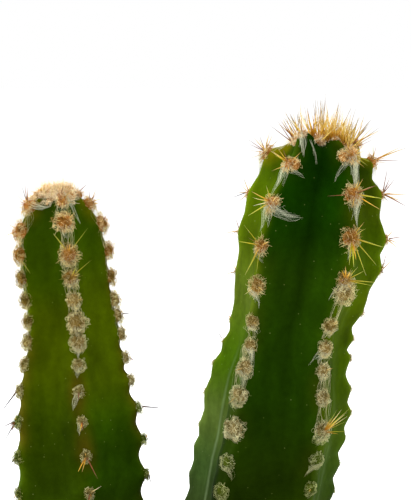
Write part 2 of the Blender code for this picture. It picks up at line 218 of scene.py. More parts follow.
def mixed(material, factor, a, b, way="MIX"):
    made = material.node_tree.nodes.new("ShaderNodeMix")
    made.data_type = "RGBA"
    made.blend_type = way
    for name, value in (("Factor_Float", factor), ("A_Color", a), ("B_Color", b)):
        socket = next(s for s in made.inputs if s.identifier == name)
        if isinstance(value, bpy.types.NodeSocket):
            link(material, value, socket)
        elif np.ndim(value) == 1:
            socket.default_value = (*value, 1)
        else:
            socket.default_value = value
    return next(s for s in made.outputs if s.identifier == "Result_Color")


def setColour(material, source):
    link(material, source, shaderOf(material).inputs["Base Color"])


def setBump(material, height, strength, distance):
    made = material.node_tree.nodes.new("ShaderNodeBump")
    made.inputs["Strength"].default_value = strength
    made.inputs["Distance"].default_value = distance
    link(material, height, made.inputs["Height"])
    link(material, made.outputs["Normal"], shaderOf(material).inputs["Normal"])


def tinted(material, dark, light, *grain):  # the colours painted on the points, uneven by a fine cloud
    painted = material.node_tree.nodes.new("ShaderNodeAttribute")
    painted.attribute_name = "tint"
    fine = ramp(material, cloud(material, *grain), [(0.3, dark), (0.7, light)])
    return mixed(material, 1.0, painted.outputs["Color"], fine, "MULTIPLY")


# the shape of a stem, as its solid has it

stemForm = {
    "soilLevel": 70,  # lengths in mm, here and in the plans of the stems
    "ribs": 5,
    "ribSharpness": 1.8,
    "notchFadesBelow": 4,
    "lowestAreole": 5.5,
    "slopeStep": 0.3,
    "crownLobesAt": 6.2,  # along a rib from the apex
    "crownLobesWide": 2.4,
    # areoles above this height, and facing back less than this, have all their wool
    "shownAbove": 26,
    "shownFacing": 0.45,
}
soilLevel = stemForm["soilLevel"] * mm
ribCount = stemForm["ribs"]

rightStem = {
    "node": "stem_right",
    "seed": 11,
    "ribs": (-109, -33, 33, 109, 180),
    # by rib, how many rows further down its areoles sit, as (row, shift) pairs
    "shifts": (((0, -0.4), (1, 0), (2, 0.15), (4, 0.03), (5, 0.34), (7, 0.28), (9, 0.52), (10, 0.25),
                (12, 0.29)),
               ((0, -0.1), (1, 0.11), (3, 0.11), (5, -0.12), (7, -0.22), (8, -0.18), (10, 0.03)),
               ((0, -0.6), (1, -0.44), (2, -0.25), (4, -0.25), (5, -0.07), (8, -0.12), (9, 0),
                (11, -0.09)),
               ((1, 0), (2, -0.11), (3, -0.02), (4, -0.22), (6, 0.13), (7, 0.05), (8, 0.25), (9, 0.1),
                (12, -0.15)),
               ((0, 0), (1, 0.1), (5, 0.3), (12, 0.2))),
    # the rib crest's radius and height, from the apex down to the buried foot
    "outline": ((0, 94.4), (5, 95.4), (9.8, 92.1), (12.9, 84), (14.2, 76), (13.5, 68), (12.2, 60),
                (13.5, 52), (14.5, 44), (14.4, 24), (11.7, 2), (8.8, -12), (0, -19)),
    # from here to the grooves, (height above the soil, value) pairs
    "lean": ((-19, 14.4), (0, 14.8), (22, 17.1), (36, 19.3), (44, 20.9), (52, 21.6), (60, 23.4),
             (72, 26.2), (84, 27.5), (95, 28.6)),
    "depth": ((-19, 1), (95, -1)),
    "twist": ((50, -1.5), (56, -3), (63, -7), (72, -8), (86, -5.5), (93, -1)),
    "tilt": ((60, 0), (82, 0.08)),
    "groove": ((-12, 0.02), (2, 0.1), (20, 0.24), (70, 0.27), (88, 0.33), (94.6, 0.4)),
    "firstAreole": 7,
    # by height, the way from one areole to the next
    "spacing": ((0, 5), (39, 5.3), (46, 5.7), (55, 4.8), (59, 4), (63.4, 4.2), (69, 7.2), (86, 7.6),
                (92, 6.8), (94.6, 4.6)),
    "lobes": 0.65,  # 0 is scalloped between areoles, 1 is rounded at them
    "notches": ((0, 1.1), (1, 0.8), (3, 0.5)),  # how deep they are between areoles, by row
    "notchShares": (0.9, 1, 1, 1.6, 1),  # by rib
    "lobeRise": (-0.8, 1.2, 0.3, 0, 0),  # how far the crown's lobes rise, by rib
}
leftStem = {
    "node": "stem_left",
    "seed": 23,
    "ribs": (-72, 0, 72, 144, 216),
    "shifts": (((0, 0), (1, 0.12), (12, 0.13)),
               ((0, 0), (2, -0.31), (3, -0.05), (8, -0.08), (12, -0.16)),
               ((1, 0.06), (2, -0.09), (4, 0.19), (5, 0.22), (6, -0.07), (7, -0.12), (8, -0.01),
                (9, -0.15), (12, -0.22)),
               ((0, 0), (2, 0.3), (12, 0.3)),
               ((0, 0), (2, 0.12), (12, 0.2))),
    "outline": ((0, 84.2), (3.6, 85), (6.4, 82.5), (8.3, 78), (8.7, 74), (8.7, 66), (9.3, 58), (10.9, 50),
                (12.1, 42), (12.6, 30), (12.2, 18), (10.2, 2), (7.4, -12), (0, -18)),
    "lean": ((-18, -15), (20, -15.2), (42, -15.4), (51, -16), (60, -16.2), (70, -17.7), (85, -18.6)),
    "depth": ((-18, 3), (85, 3)),
    "twist": ((30, 12.5), (48, 8), (60, 10), (70, 13)),
    "tilt": ((60, 0), (80, 0)),
    "groove": ((-12, 0.02), (2, 0.1), (20, 0.22), (60, 0.24), (78, 0.3), (84.2, 0.36)),
    "firstAreole": 3.4,
    "spacing": ((0, 6.6), (36, 6.8), (44, 6.6), (49.7, 5.6), (55, 4.9), (59, 4), (62.5, 3.6), (67, 4),
                (78, 4.3), (82.5, 4.6), (83.8, 5), (85, 2.7)),
    "lobes": 0.15,
    "notches": ((0, 0.5), (6, 0.5), (9, 0.8), (12, 0.9)),
    "notchShares": (0.8, 1, 1.4, 1, 1),
    "lobeRise": (0, 0, 0, 0, 0),
}


def readyStem(plan):  # turns a plan's pairs into curves in metres, and finds its rings of areoles
    stem = dict(plan)
    outline = np.array(plan["outline"]) * mm
    along = np.concatenate([[0], np.cumsum(np.hypot(*np.diff(outline, axis=0).T))])
    stem["length"], stem["top"] = float(along[-1]), float(outline[1, 1])
    stem["crestRadius"] = smoothCurve(list(zip(along, outline[:, 0])))
    stem["crestHeight"] = smoothCurve(list(zip(along, outline[:, 1])))
    for key in ("lean", "depth", "spacing", "twist", "tilt", "groove"):
        scale = mm if key in ("lean", "depth", "spacing") else 1  # the others aren't lengths
        stem[key] = smoothCurve([(height * mm, value * scale) for height, value in plan[key]])
    stem["notches"] = smoothCurve([(row, deep * mm) for row, deep in plan["notches"]])
    stem["lobeRise"] = np.array(plan["lobeRise"]) * mm
    stem["shifts"] = [smoothCurve(pairs) for pairs in plan["shifts"]]
    stations = [plan["firstAreole"] * mm]
    while stem["crestHeight"](stations[-1]) > stemForm["lowestAreole"] * mm:
        stations.append(stations[-1] + float(stem["spacing"](stem["crestHeight"](stations[-1]))))
    stem["stations"] = np.array(stations[:-1])
    return stem


def ribGap(place):  # the ribs before and after a place, how far it is between them, and the nearer one
    rib = np.floor(place).astype(int) % ribCount
    after, share = (rib + 1) % ribCount, place - np.floor(place)
    return rib, after, share, np.where(share < 0.5, rib, after)


def rowDistance(stem, row, place):  # how far down the crest a row lies, with rows counted in areoles
    row, place = np.broadcast_arrays(np.asarray(row, float), np.asarray(place, float))
    rib, after, share, _ = ribGap(place)
    shifts = np.stack([shift(row) for shift in stem["shifts"]])
    here, beside = (np.take_along_axis(shifts, at[None], axis=0)[0] for at in (rib, after))
    row = row + blend(here, beside, share * share * (3 - 2 * share))
    stations = stem["stations"]
    low = np.clip(row.astype(int), 0, len(stations) - 2)
    return stations[low] + (stations[low + 1] - stations[low]) * (row - low)


def skinPoint(stem, distance, place, row=None, swell=0.0):  # a point of the skin, or swell above it
    distance, place = np.broadcast_arrays(np.asarray(distance, float), np.asarray(place, float))
    rib, after, share, nearest = ribGap(place)
    crest = (0.5 + 0.5 * np.cos(2 * math.pi * share)) ** stemForm["ribSharpness"]
    radius, height = stem["crestRadius"](distance), stem["crestHeight"](distance)
    step = stemForm["slopeStep"] * mm
    ahead, behind = distance + step, np.maximum(0.0, distance - step)
    run = stem["crestRadius"](ahead) - stem["crestRadius"](behind)
    fall = stem["crestHeight"](behind) - stem["crestHeight"](ahead)
    outward = unit(np.stack([fall, run], axis=-1) + np.array([0, 1e-9]))
    inset = stem["groove"](height) * radius * (1 - crest)
    if row is not None:
        part = np.asarray(row, float) % 1.0
        scallop = np.abs(np.sin(math.pi * part)) ** 1.2
        lobe = 1 - np.abs(np.cos(math.pi * part)) ** 1.3
        fade = rising(height, 0, stemForm["notchFadesBelow"] * mm) * np.minimum(1.0, radius / (4 * mm))
        depth = stem["notches"](row) * np.array(stem["notchShares"])[nearest]
        inset = inset + depth * crest * fade * blend(scallop, lobe, stem["lobes"])
    crown = bell(distance, stemForm["crownLobesAt"] * mm, stemForm["crownLobesWide"] * mm)
    swell = swell + stem["lobeRise"][nearest] * crest * crown
    radius = np.maximum(0.0, radius - outward[..., 0] * inset) + outward[..., 0] * swell
    height = height + outward[..., 1] * (swell - inset)
    ribs = np.array(stem["ribs"], float)
    turn = np.radians(ribs[rib] + (ribs[after] - ribs[rib]) % 360 * share + stem["twist"](height))
    x, y = radius * np.sin(turn), -radius * np.cos(turn)
    height = height - stem["tilt"](height) * x
    return np.stack([stem["lean"](height) + x, stem["depth"](height) + y, soilLevel + height], axis=-1)


def onSkin(stem, row, place, swell=0.0):
    return skinPoint(stem, rowDistance(stem, row, place), place, row, swell)


def areolesOf(stem):  # by rib and row: an areole's foot, and its outward, upward and sideways directions
    found = {}
    for row in range(len(stem["stations"])):
        for rib in range(ribCount):
            distance = float(rowDistance(stem, row, rib))
            foot = skinPoint(stem, distance, rib, row)
            up = unit(skinPoint(stem, distance - 0.4 * mm, rib) - skinPoint(stem, distance + 0.4 * mm, rib))
            across = skinPoint(stem, distance, rib + 0.02) - skinPoint(stem, distance, rib - 0.02)
            out = unit(np.cross(across, up))
            side = np.cross(up, out)
            high = foot[2] > soilLevel + stemForm["shownAbove"] * mm
            shown = high and out[1] < stemForm["shownFacing"]
            found[rib, row] = {"row": row, "rib": rib, "foot": foot, "out": out, "up": up, "side": side,
                               "turned": np.stack([side, up, out], axis=-1), "shown": shown}
    return found


stems = {"right": readyStem(rightStem), "left": readyStem(leftStem)}
for key, stem in stems.items():
    stem["areoles"] = areolesOf(stem)
    print(key, "stem planned with", len(stem["areoles"]), "areoles")


# green skin

skinLook = {
    "rowsAnAreole": 14,
    "columnsARib": 24,
    "crestCrowding": 0.6,
    "unevenness": 0.12,  # mm
    # widths, as shares of the way from one rib to the next
    "turnWidth": 0.07,
    "edgeWidth": 0.09,
    "furrowWidth": 0.024,
    # where a thing begins or fades: the height above the soil and the way it takes, in mm
    "lowFades": (44, 14),
    "highStarts": (46, 20),
    "furrowFades": (40, 20),
    "edgeStarts": (28, 20),
    "youngStarts": (-6, 3),  # from the top
    "corkFades": (-2, 12),
    "right": {
        "faces": ("lit", "front", "shade", "back", "back"),  # between two ribs, from the first rib on
        "furrows": (0.8, 0, 0.1, 0.25, 0.25),  # how pale each face's furrow is painted: partly waxy bloom, partly painted light
        "edges": (1, 0, 0.1, 0.9, 0.4),  # how much painted light glows through each rib's crest
        # the colour of each face by height above the soil, with the light or shade it gets painted in
        "lit": ((0, (66, 74, 40)), (34, (66, 92, 40)), (44.5, (88, 110, 44)), (55, (60, 90, 4)),
                (68, (79, 97, 22)), (77, (65, 84, 2)), (86, (60, 80, 0)), (95.4, (32, 54, 1))),
        "front": ((0, (48, 54, 24)), (20, (30, 42, 6)), (34, (25, 42, 1)), (52, (25, 49, 1)),
                  (70, (25, 48, 1)), (84, (12, 40, 0)), (95.4, (10, 38, 0))),
        "shade": ((0, (62, 70, 38)), (34, (44, 64, 10)), (44, (52, 71, 5)), (53, (48, 68, 0)),
                  (66, (59, 76, 1)), (78, (50, 69, 0)), (83, (48, 62, 0)), (95.4, (18, 40, 0))),
        "back": ((0, (64, 72, 40)), (30, (46, 66, 24)), (50, (54, 78, 6)), (95.4, (46, 74, 4))),
        # painted light and shade across one face, from its first rib to the next: painted shade in the
        # groove, painted light on the half turned towards the left lamp; strongest near the crown
        "across": ((0, 1.15), (0.2, 1.12), (0.4, 0.92), (0.5, 0.66), (0.58, 0.9), (0.75, 1.35),
                   (1, 1.25)),
        "acrossFace": 1,  # which face that is
        "acrossLow": ((0, 1.05), (0.44, 1), (0.56, 0.74), (1, 0.7)),  # the first face's painted shade near the foot, darker towards its second rib
        "rustShare": 0.25,
        "rustAt": 52,  # mm above the soil, where a belt of rust is thickest
        "rustBelt": 0.2,
        "darkEarly": 1,  # low down, how far painted shade darkens the lit face before it reaches the crest
    },
    "left": {
        "faces": ("litFront", "shadeFront", "back", "back", "back"),
        "furrows": (0, 0, 0.18, 0.18, 0.18),
        "edges": (0.5, 0, 0.5, 0.4, 0.4),
        # the colour of each face by height above the soil, with the light or shade it gets painted in
        "litFront": ((0, (56, 60, 30)), (20, (42, 60, 8)), (33, (38, 56, 1)), (41, (36, 52, 0)),
                     (56, (54, 67, 0)), (63, (54, 67, 0)), (70, (41, 59, 0)), (84.2, (36, 55, 1))),
        "shadeFront": ((0, (52, 58, 28)), (20, (38, 58, 8)), (34, (38, 65, 2)), (42, (41, 68, 1)),
                       (53, (68, 85, 2)), (64, (67, 83, 1)), (79, (46, 68, 1)), (84.2, (44, 66, 1))),
        "back": ((0, (60, 66, 34)), (30, (44, 64, 10)), (55, (60, 78, 4)), (84.2, (44, 68, 4))),
        "across": ((0, 1), (1, 1)),
        "acrossFace": 0,
        "acrossLow": ((0, 1), (1, 1)),
        "rustShare": 1,
        "rustAt": 55,
        "rustBelt": 0.42,
        "darkEarly": 0,
    },
    # the furrow colour is pale waxy bloom and partly painted light
    "furrow": (124, 147, 98),
    # the edge colour is painted light glowing through a rib's crest
    "edge": (112, 134, 8),
    "rust": (72, 62, 8),
    "young": (120, 108, 6),
    "cork": (126, 110, 76),
    "dust": (160, 172, 110),
}


def skinColours(key, stem, points, place, height):  # height is above the soil, in mm
    look = skinLook[key]
    rib, _, share, nearest = ribGap(place)
    fromCrest = np.minimum(share, 1 - share)
    lower = 1 - rising(height, *skinLook["lowFades"])
    edges = np.array(look["edges"])[nearest]

    def over(colour, name, amount):  # lays one of the skin's colours over what is there
        return blend(colour, paint(skinLook[name]), amount[..., None])

    # each face has its colour with its light or shade painted in, and turns to its neighbour's on the crest
    shades = np.stack([colourCurve(look[name])(height) for name in look["faces"]])
    beside = np.where(share < 0.5, rib - 1, rib + 1) % ribCount
    face, other = (np.take_along_axis(shades, at[None, ..., None], axis=0)[0] for at in (rib, beside))
    upper = np.maximum(0.25, rising(height, *skinLook["highStarts"]))
    # painted light and shade across a face, from the across curves
    fold = blend(1.0, smoothCurve(look["across"])(share), upper * (rib == look["acrossFace"]))
    fold = fold * blend(1.0, smoothCurve(look["acrossLow"])(share), lower * (rib == 0))
    turned = 0.5 * (1 - rising(fromCrest, 0, skinLook["turnWidth"])) ** 1.5
    # painted shade low down: the lit face takes the dark front colour before the crest, and the front face
    # keeps its own
    early = look["darkEarly"] * lower
    turned = np.where(rib == 1, turned * (1 - 0.8 * early), turned)
    turned = np.maximum(turned, 0.9 * rising(share, 0.74, 0.07) * early * (rib == 0))
    colour = blend(face * fold[..., None], other, turned[..., None])

    # the pale furrow: partly waxy bloom, partly painted light, most on the lit face
    furrow = bell(share, 0.5, skinLook["furrowWidth"]) * np.array(look["furrows"])[rib]
    colour = over(colour, "furrow", 0.8 * furrow * (1 - rising(height, *skinLook["furrowFades"])))
    glow = edges * bell(fromCrest, 0, skinLook["edgeWidth"])  # painted light, as if it came through the thin crest of a rib
    colour = over(colour, "edge", 0.5 * glow * rising(height, *skinLook["edgeStarts"]))
    mottle = noiseAt(points, 150) * 0.30 + noiseAt(points * np.array([1, 1, 0.35]), 620, 7.0) * 0.24
    crest = 0.5 + 0.5 * np.cos(2 * math.pi * share)
    warm = 0.25 * crest[..., None] ** 6 * np.array([1.0, 0.8, 0.6])
    colour = colour * (1 + mottle)[..., None] * (1 + warm)
    # rust sits on the margins of the ribs
    rusty = noiseAt(points, 120, 31.0) + look["rustBelt"] * bell(height, look["rustAt"], 9)
    rusty = np.clip(rusty * 1.6, 0, 1) * crest ** 7 * look["rustShare"]
    colour = over(colour, "rust", np.clip(rusty, 0, 0.75))
    # the youngest lobes are olive yellow, and the old foot turns corky
    tips = rising(height - stem["top"] / mm, *skinLook["youngStarts"]) * crest ** 1.6 * edges
    colour = over(colour, "young", tips * 0.75)
    cork = 1 - rising(height, *skinLook["corkFades"])
    cork = np.clip(cork * 1.4 + noiseAt(points, 330, 3.0) * cork * 2.4, 0, 1)
    return np.clip(over(colour, "cork", cork), 0, 1)


def waxySkin():
    material = newMaterial("waxySkin", specular=0.002)
    dust = texture(material, "ShaderNodeTexVoronoi", "Distance", Scale=620)
    dusty = ramp(material, dust, [(0.0, 0.55), (0.075, 0.0)])
    green = tinted(material, 0.86, 1.13, 900, 4, 0.6)
    setColour(material, mixed(material, dusty, green, paint(skinLook["dust"])))
    sheen = ramp(material, cloud(material, 400), [(0.3, 0.46), (0.75, 0.66)])
    link(material, sheen, shaderOf(material).inputs["Roughness"])
    setBump(material, cloud(material, 1500, 4, 0.65), 0.3, 0.0002)
    return material


def buildSkin(key, stem, material):
    per, last = skinLook["rowsAnAreole"], len(stem["stations"]) - 1
    u = np.arange(ribCount * skinLook["columnsARib"]) / skinLook["columnsARib"]
    share = u - np.floor(u)
    place = u - skinLook["crestCrowding"] * np.sin(2 * math.pi * share) / (2 * math.pi)
    apexRows = rowDistance(stem, 0, place) * np.linspace(0.02, 0.9, 10)[:, None]
    areoleRows = [rowDistance(stem, count / per, place) for count in range(last * per + 1)]
    lowest = areoleRows[-1]
    level = np.max(lowest) + 1.5 * mm  # below the last areoles the rows level out
    skirtRows = blend(lowest, level, np.linspace(0.2, 1.0, 5)[:, None])
    footRows = np.linspace(level, stem["length"] - 0.3 * mm, 22)[1:, None] + 0 * place
    points = np.concatenate([
        skinPoint(stem, apexRows, place),
        [skinPoint(stem, distance, place, count / per) for count, distance in enumerate(areoleRows)],
        skinPoint(stem, skirtRows, place),
        skinPoint(stem, footRows, place),
    ])
    height = (points[..., 2] - soilLevel) / mm
    outward = unit((points - points.mean(axis=1, keepdims=True)) * np.array([1, 1, 0.2]))
    wave = noiseAt(points, 170, 5.0) + 0.4 * noiseAt(points, 620, 11.0)
    points = points + outward * (wave * skinLook["unevenness"] * mm)[..., None]
    tints = skinColours(key, stem, points, np.broadcast_to(place, height.shape), height)
    n, m = height.shape
    here = np.arange(n * m).reshape(n, m)
    after = np.roll(here, -1, axis=1)
    quads = np.stack([here[:-1], here[1:], after[1:], after[:-1]], axis=-1).reshape(-1, 4)
    crown = np.stack([here[0], after[0], np.full(m, n * m)], axis=-1)
    sole = np.stack([after[-1], here[-1], np.full(m, n * m + 1)], axis=-1)
    bin = newBin()
    ends = points[[0, -1]].mean(axis=1)
    addToBin(bin, np.concatenate([points.reshape(-1, 3), ends]), [quads, crown, sole],
             np.concatenate([tints.reshape(-1, 3), tints[[0, -1]].mean(axis=1)]))
    pieceFromBin(key + "Skin", bin, material, replaced=stem["node"])


skinGreen = waxySkin()
for key, stem in stems.items():
    buildSkin(key, stem, skinGreen)


# wool on the areoles

woolLook = {
    "fibreRadius": 0.027,  # mm
    "steps": 5,
    "sink": 0.3,  # of a tuft's radius
    "scale": 0.86,  # of all the tuft radii below
    "usualRadius": 1.4,  # mm, for the counts of fibres below
    "backDetail": 0.34,  # share of the fibres that tufts behind have
    "crownRows": 5,
    "goldenFront": (-1.5, 0.75),  # the crown's felt this far forward, in mm, is more golden by this much
    # a tuft's fibres are curls wound over it, spikes that stand out, and the rest a fringe on the skin
    "young": {"fibres": 200, "curls": 0.52, "spikes": 0.28, "reach": 0.32, "bare": 0, "dome": 0.9,
              "lumps": 0.3, "light": 0.58, "glow": 1.1},
    "grown": {"fibres": 205, "curls": 0.68, "spikes": 0.17, "reach": 0.22, "bare": 0, "dome": 0.86,
              "lumps": 0.22, "light": 0.56, "glow": 1.2},
    "old": {"fibres": 180, "curls": 0.84, "spikes": 0.06, "reach": 0.18, "bare": 0.18, "dome": 0.7,
            "lumps": 0.16, "light": 0.54, "glow": 1.1},
    "felt": {"fibres": 190, "curls": 0.44, "spikes": 0.38, "reach": 0.46, "bare": 0, "dome": 0.88,
             "lumps": 0.34, "light": 0.98, "glow": 1.28},
    # tints by row: the tuft's heart, its fibres towards the rim, and the painted shade in the gaps between
    # them
    "heart": ((0, (204, 148, 76)), (1, (196, 132, 58)), (3, (174, 114, 44)), (5, (152, 122, 58)),
              (7, (162, 134, 76)), (9, (162, 142, 88)), (10, (92, 108, 26)), (18, (92, 98, 42))),
    "rim": ((0, (255, 244, 208)), (1, (255, 242, 184)), (3, (254, 240, 174)), (5, (254, 244, 180)),
            (7, (255, 250, 198)), (9, (255, 252, 202)), (11, (228, 234, 160)), (18, (180, 182, 120))),
    "gap": ((0, (96, 62, 14)), (2, (78, 52, 12)), (5, (66, 56, 14)), (9, (62, 58, 18)), (10, (40, 56, 4)),
            (18, (36, 44, 8))),
    "right": {
        # painted shade on the tufts of a rib, where they sit in shade: how much of their colour is kept, as
        # (row, share) pairs
        "lit": {},
        "grownFromRow": 5,
        "oldFromRow": 10,
        "lastTone": 18,  # further down, the second rib's tufts keep this row's colours
        # tuft radius in mm by rib, as (row, radius) pairs
        "sizes": (((0, 1), (1, 1.8), (2, 1), (3, 0.75), (18, 0.62)),
                  ((0, 1.1), (1, 1.45), (2, 1.7), (3, 1.6), (4, 1.85), (5, 1.5), (6, 1.55), (7, 1.75),
                   (8, 1.95), (9, 2.1), (10, 1.65), (11, 1.65), (12, 1.5), (18, 1.1)),
                  ((0, 0.7), (1, 1.7), (2, 1.8), (3, 2.05), (4, 1.75), (5, 1.6), (6, 1.75), (7, 1.5),
                   (8, 1.5), (9, 2), (10, 1.6), (11, 1.45), (18, 1)),
                  ((0, 1.2), (1, 1.4), (2, 1.1), (3, 1), (4, 1.05), (5, 0.8), (18, 0.75)),
                  ((0, 1.1), (1, 1.4), (4, 1.5), (9, 1.4), (18, 1))),
        # rib, row: a second tuft that has grown into the first: its shift down in rows and right in mm, its
        # radius in mm
        "twins": {(2, 4): (0.27, 0.7, 2.4), (2, 9): (0.16, -0.3, 1.5), (1, 8): (0.14, 0, 1.5),
                  (2, 1): (0, -1.5, 1.35), (1, 1): (-0.03, 1.2, 1.15)},
    },
    "left": {
        "lit": {0: ((0, 1), (2, 0.95), (4, 0.72), (18, 0.72)),
                1: ((0, 1), (6, 1), (9, 0.76), (18, 0.84))},
        "grownFromRow": 5,
        "oldFromRow": 13,
        "lastTone": 9,
        "sizes": (((0, 1.2), (1, 1.8), (2, 2), (3, 1.95), (4, 1.9), (7, 1.75), (8, 1.5), (9, 1.45),
                   (12, 1.4), (18, 1)),
                  ((0, 1.3), (1, 1.3), (2, 1.9), (3, 1.95), (4, 1.6), (5, 1.65), (6, 2), (7, 1.8),
                   (8, 1.4), (9, 1.15), (10, 1.15), (11, 1.25), (12, 1.15), (18, 0.9)),
                  ((0, 1.2), (1, 1.6), (2, 1.8), (3, 1.7), (4, 1.7), (5, 1.7), (7, 1.6), (8, 1.3),
                   (12, 1.25), (18, 0.9)),
                  ((0, 1.2), (2, 1.5), (6, 1.3), (9, 1), (18, 0.8)),
                  ((0, 1.2), (2, 1.5), (6, 1.3), (9, 1), (18, 0.8))),
        "twins": {(1, 2): (-0.22, 0, 1.2), (1, 3): (0.25, 0.2, 1.4)},
    },
    # the felt over the growing tip: each tuft's place right of the tip, behind it and above the skin,
    # then its radius, all in mm
    "feltOver": {
        "right": ((-4.5, -0.5, 0.8, 1), (-4.2, -0.9, 1.1, 1.3), (-3.8, -1.5, 1, 1.2),
                  (-2.6, -2.1, 0.3, 1.1), (-1.4, -2.6, 0.2, 1.2), (-0.4, -2.4, 0.1, 1),
                  (1.9, -2.4, 0, 0.6), (5, -0.9, 0.6, 1.2), (5.9, -0.3, 0.5, 1.15), (-3.6, 1.6, 0.2, 1.2),
                  (-1, 2.2, 0.1, 1.3), (1.8, 2.2, 0, 1.3), (4, 1.4, 0.2, 1.3), (-2, -0.4, 0.1, 1.3),
                  (1, 0.3, 0, 1.2), (3.2, 0.2, 0, 1.2)),
        "left": ((-3.3, -0.9, 0.3, 1.3), (-2.5, -1.6, 0.2, 0.9), (-1.2, -2.2, 0, 1.5),
                 (0.3, -2.3, 0, 1.65), (1.6, -1.8, 0.1, 1.5), (2.4, -0.9, 0.4, 1.4), (-2.4, 0.3, 1, 1.8),
                 (-1, 0.6, 0.9, 2.2), (0.6, 0.5, 0.9, 2.2), (2, 0.2, 1.1, 1.7), (-1.3, -0.8, 0.6, 2),
                 (0.4, -0.8, 0.6, 2), (-3.4, 0.2, 0.5, 1.2), (-0.2, 2.1, 0.2, 1.6), (-2, -1.4, 0.7, 1.3),
                 (1.5, -1.3, 0.7, 1.3)),
    },
    # wool that runs down from a tuft to the next one below: rib, row, then how many fibres
    "bridges": {
        "right": ((1, 5, 12), (1, 6, 26), (1, 7, 14), (2, 4, 12), (2, 5, 30), (2, 6, 8), (2, 7, 18),
                  (2, 8, 12)),
        "left": ((1, 1, 12), (1, 2, 14), (1, 3, 18), (1, 4, 18), (1, 5, 12), (0, 1, 14), (0, 2, 16),
                 (0, 3, 14), (0, 4, 10), (2, 1, 10), (2, 2, 10), (2, 3, 8)),
    },
}
for key in stems:
    woolLook[key]["sizeCurves"] = [smoothCurve(pairs) for pairs in woolLook[key]["sizes"]]
    woolLook[key]["litCurves"] = {rib: smoothCurve(pairs) for rib, pairs in woolLook[key]["lit"].items()}


def woolRadius(key, areole):
    return float(woolLook[key]["sizeCurves"][areole["rib"]](areole["row"])) * mm * woolLook["scale"]


def onBall(around, polar):  # points of a unit ball, around its outward pole
    flat = np.sin(polar)
    return np.stack([np.cos(around) * flat, np.sin(around) * flat, np.cos(polar)], axis=-1)


def curls(draw, count, t, bare):  # short arcs wound over the ball
    polar = np.arccos(1 - bare * 0.5 - draw.random(count) * (1.12 - bare * 0.5))
    at = onBall(draw.random(count) * 2 * math.pi, polar)
    a = unit(np.cross(at, draw.normal(size=(count, 3))))
    b = np.cross(at, a)
    radius = draw.uniform(0.12, 0.40, count)
    angle = draw.random(count)[:, None] * 2 * math.pi + draw.uniform(1.0, 2.6, count)[:, None] * t
    arc = np.cos(angle)[..., None] * a[:, None] + np.sin(angle)[..., None] * b[:, None]
    path = at[:, None] + radius[:, None, None] * arc
    lift = draw.uniform(0.86, 1.06, count)[:, None]
    lift = lift + draw.uniform(0.0, 0.26, count)[:, None] * np.sin(math.pi * t)
    return unit(path) * lift[..., None], polar


def spikes(draw, count, t, reach):  # fibres that stand out of the ball
    polar = np.arccos(1 - draw.random(count))
    at = onBall(draw.random(count) * 2 * math.pi, polar)
    bend = draw.normal(size=(count, 3)) * 0.6
    long = 0.72 + (0.28 + reach * draw.random(count) ** 1.5)[:, None] * t
    return at[:, None] * long[..., None] + bend[:, None] * (t ** 2)[:, None] * reach, polar


def fringe(draw, count, t, reach):  # fibres that leave the rim and lie over the skin, more of them downwards
    around = draw.random(count) * 2 * math.pi
    around = np.where(draw.random(count) < 0.35, draw.normal(-math.pi / 2, 0.7, count), around)
    polar = np.full(count, 1.35)
    flat = np.stack([np.cos(around), np.sin(around), 0 * around], axis=-1)
    sway = np.stack([-np.sin(around), np.cos(around), 0 * around], axis=-1)
    sway = sway * draw.normal(size=count)[:, None] * 0.7
    long = 0.75 + (0.20 + 1.5 * reach * draw.random(count) ** 1.5)[:, None] * t
    rise = 0.34 * np.sin(math.pi * np.clip(t, 0, 1)) + 0.28 - 0.12 * t
    path = flat[:, None] * long[..., None] + sway[:, None] * (t ** 2)[:, None] * reach
    path[..., 2] += rise
    return path, polar


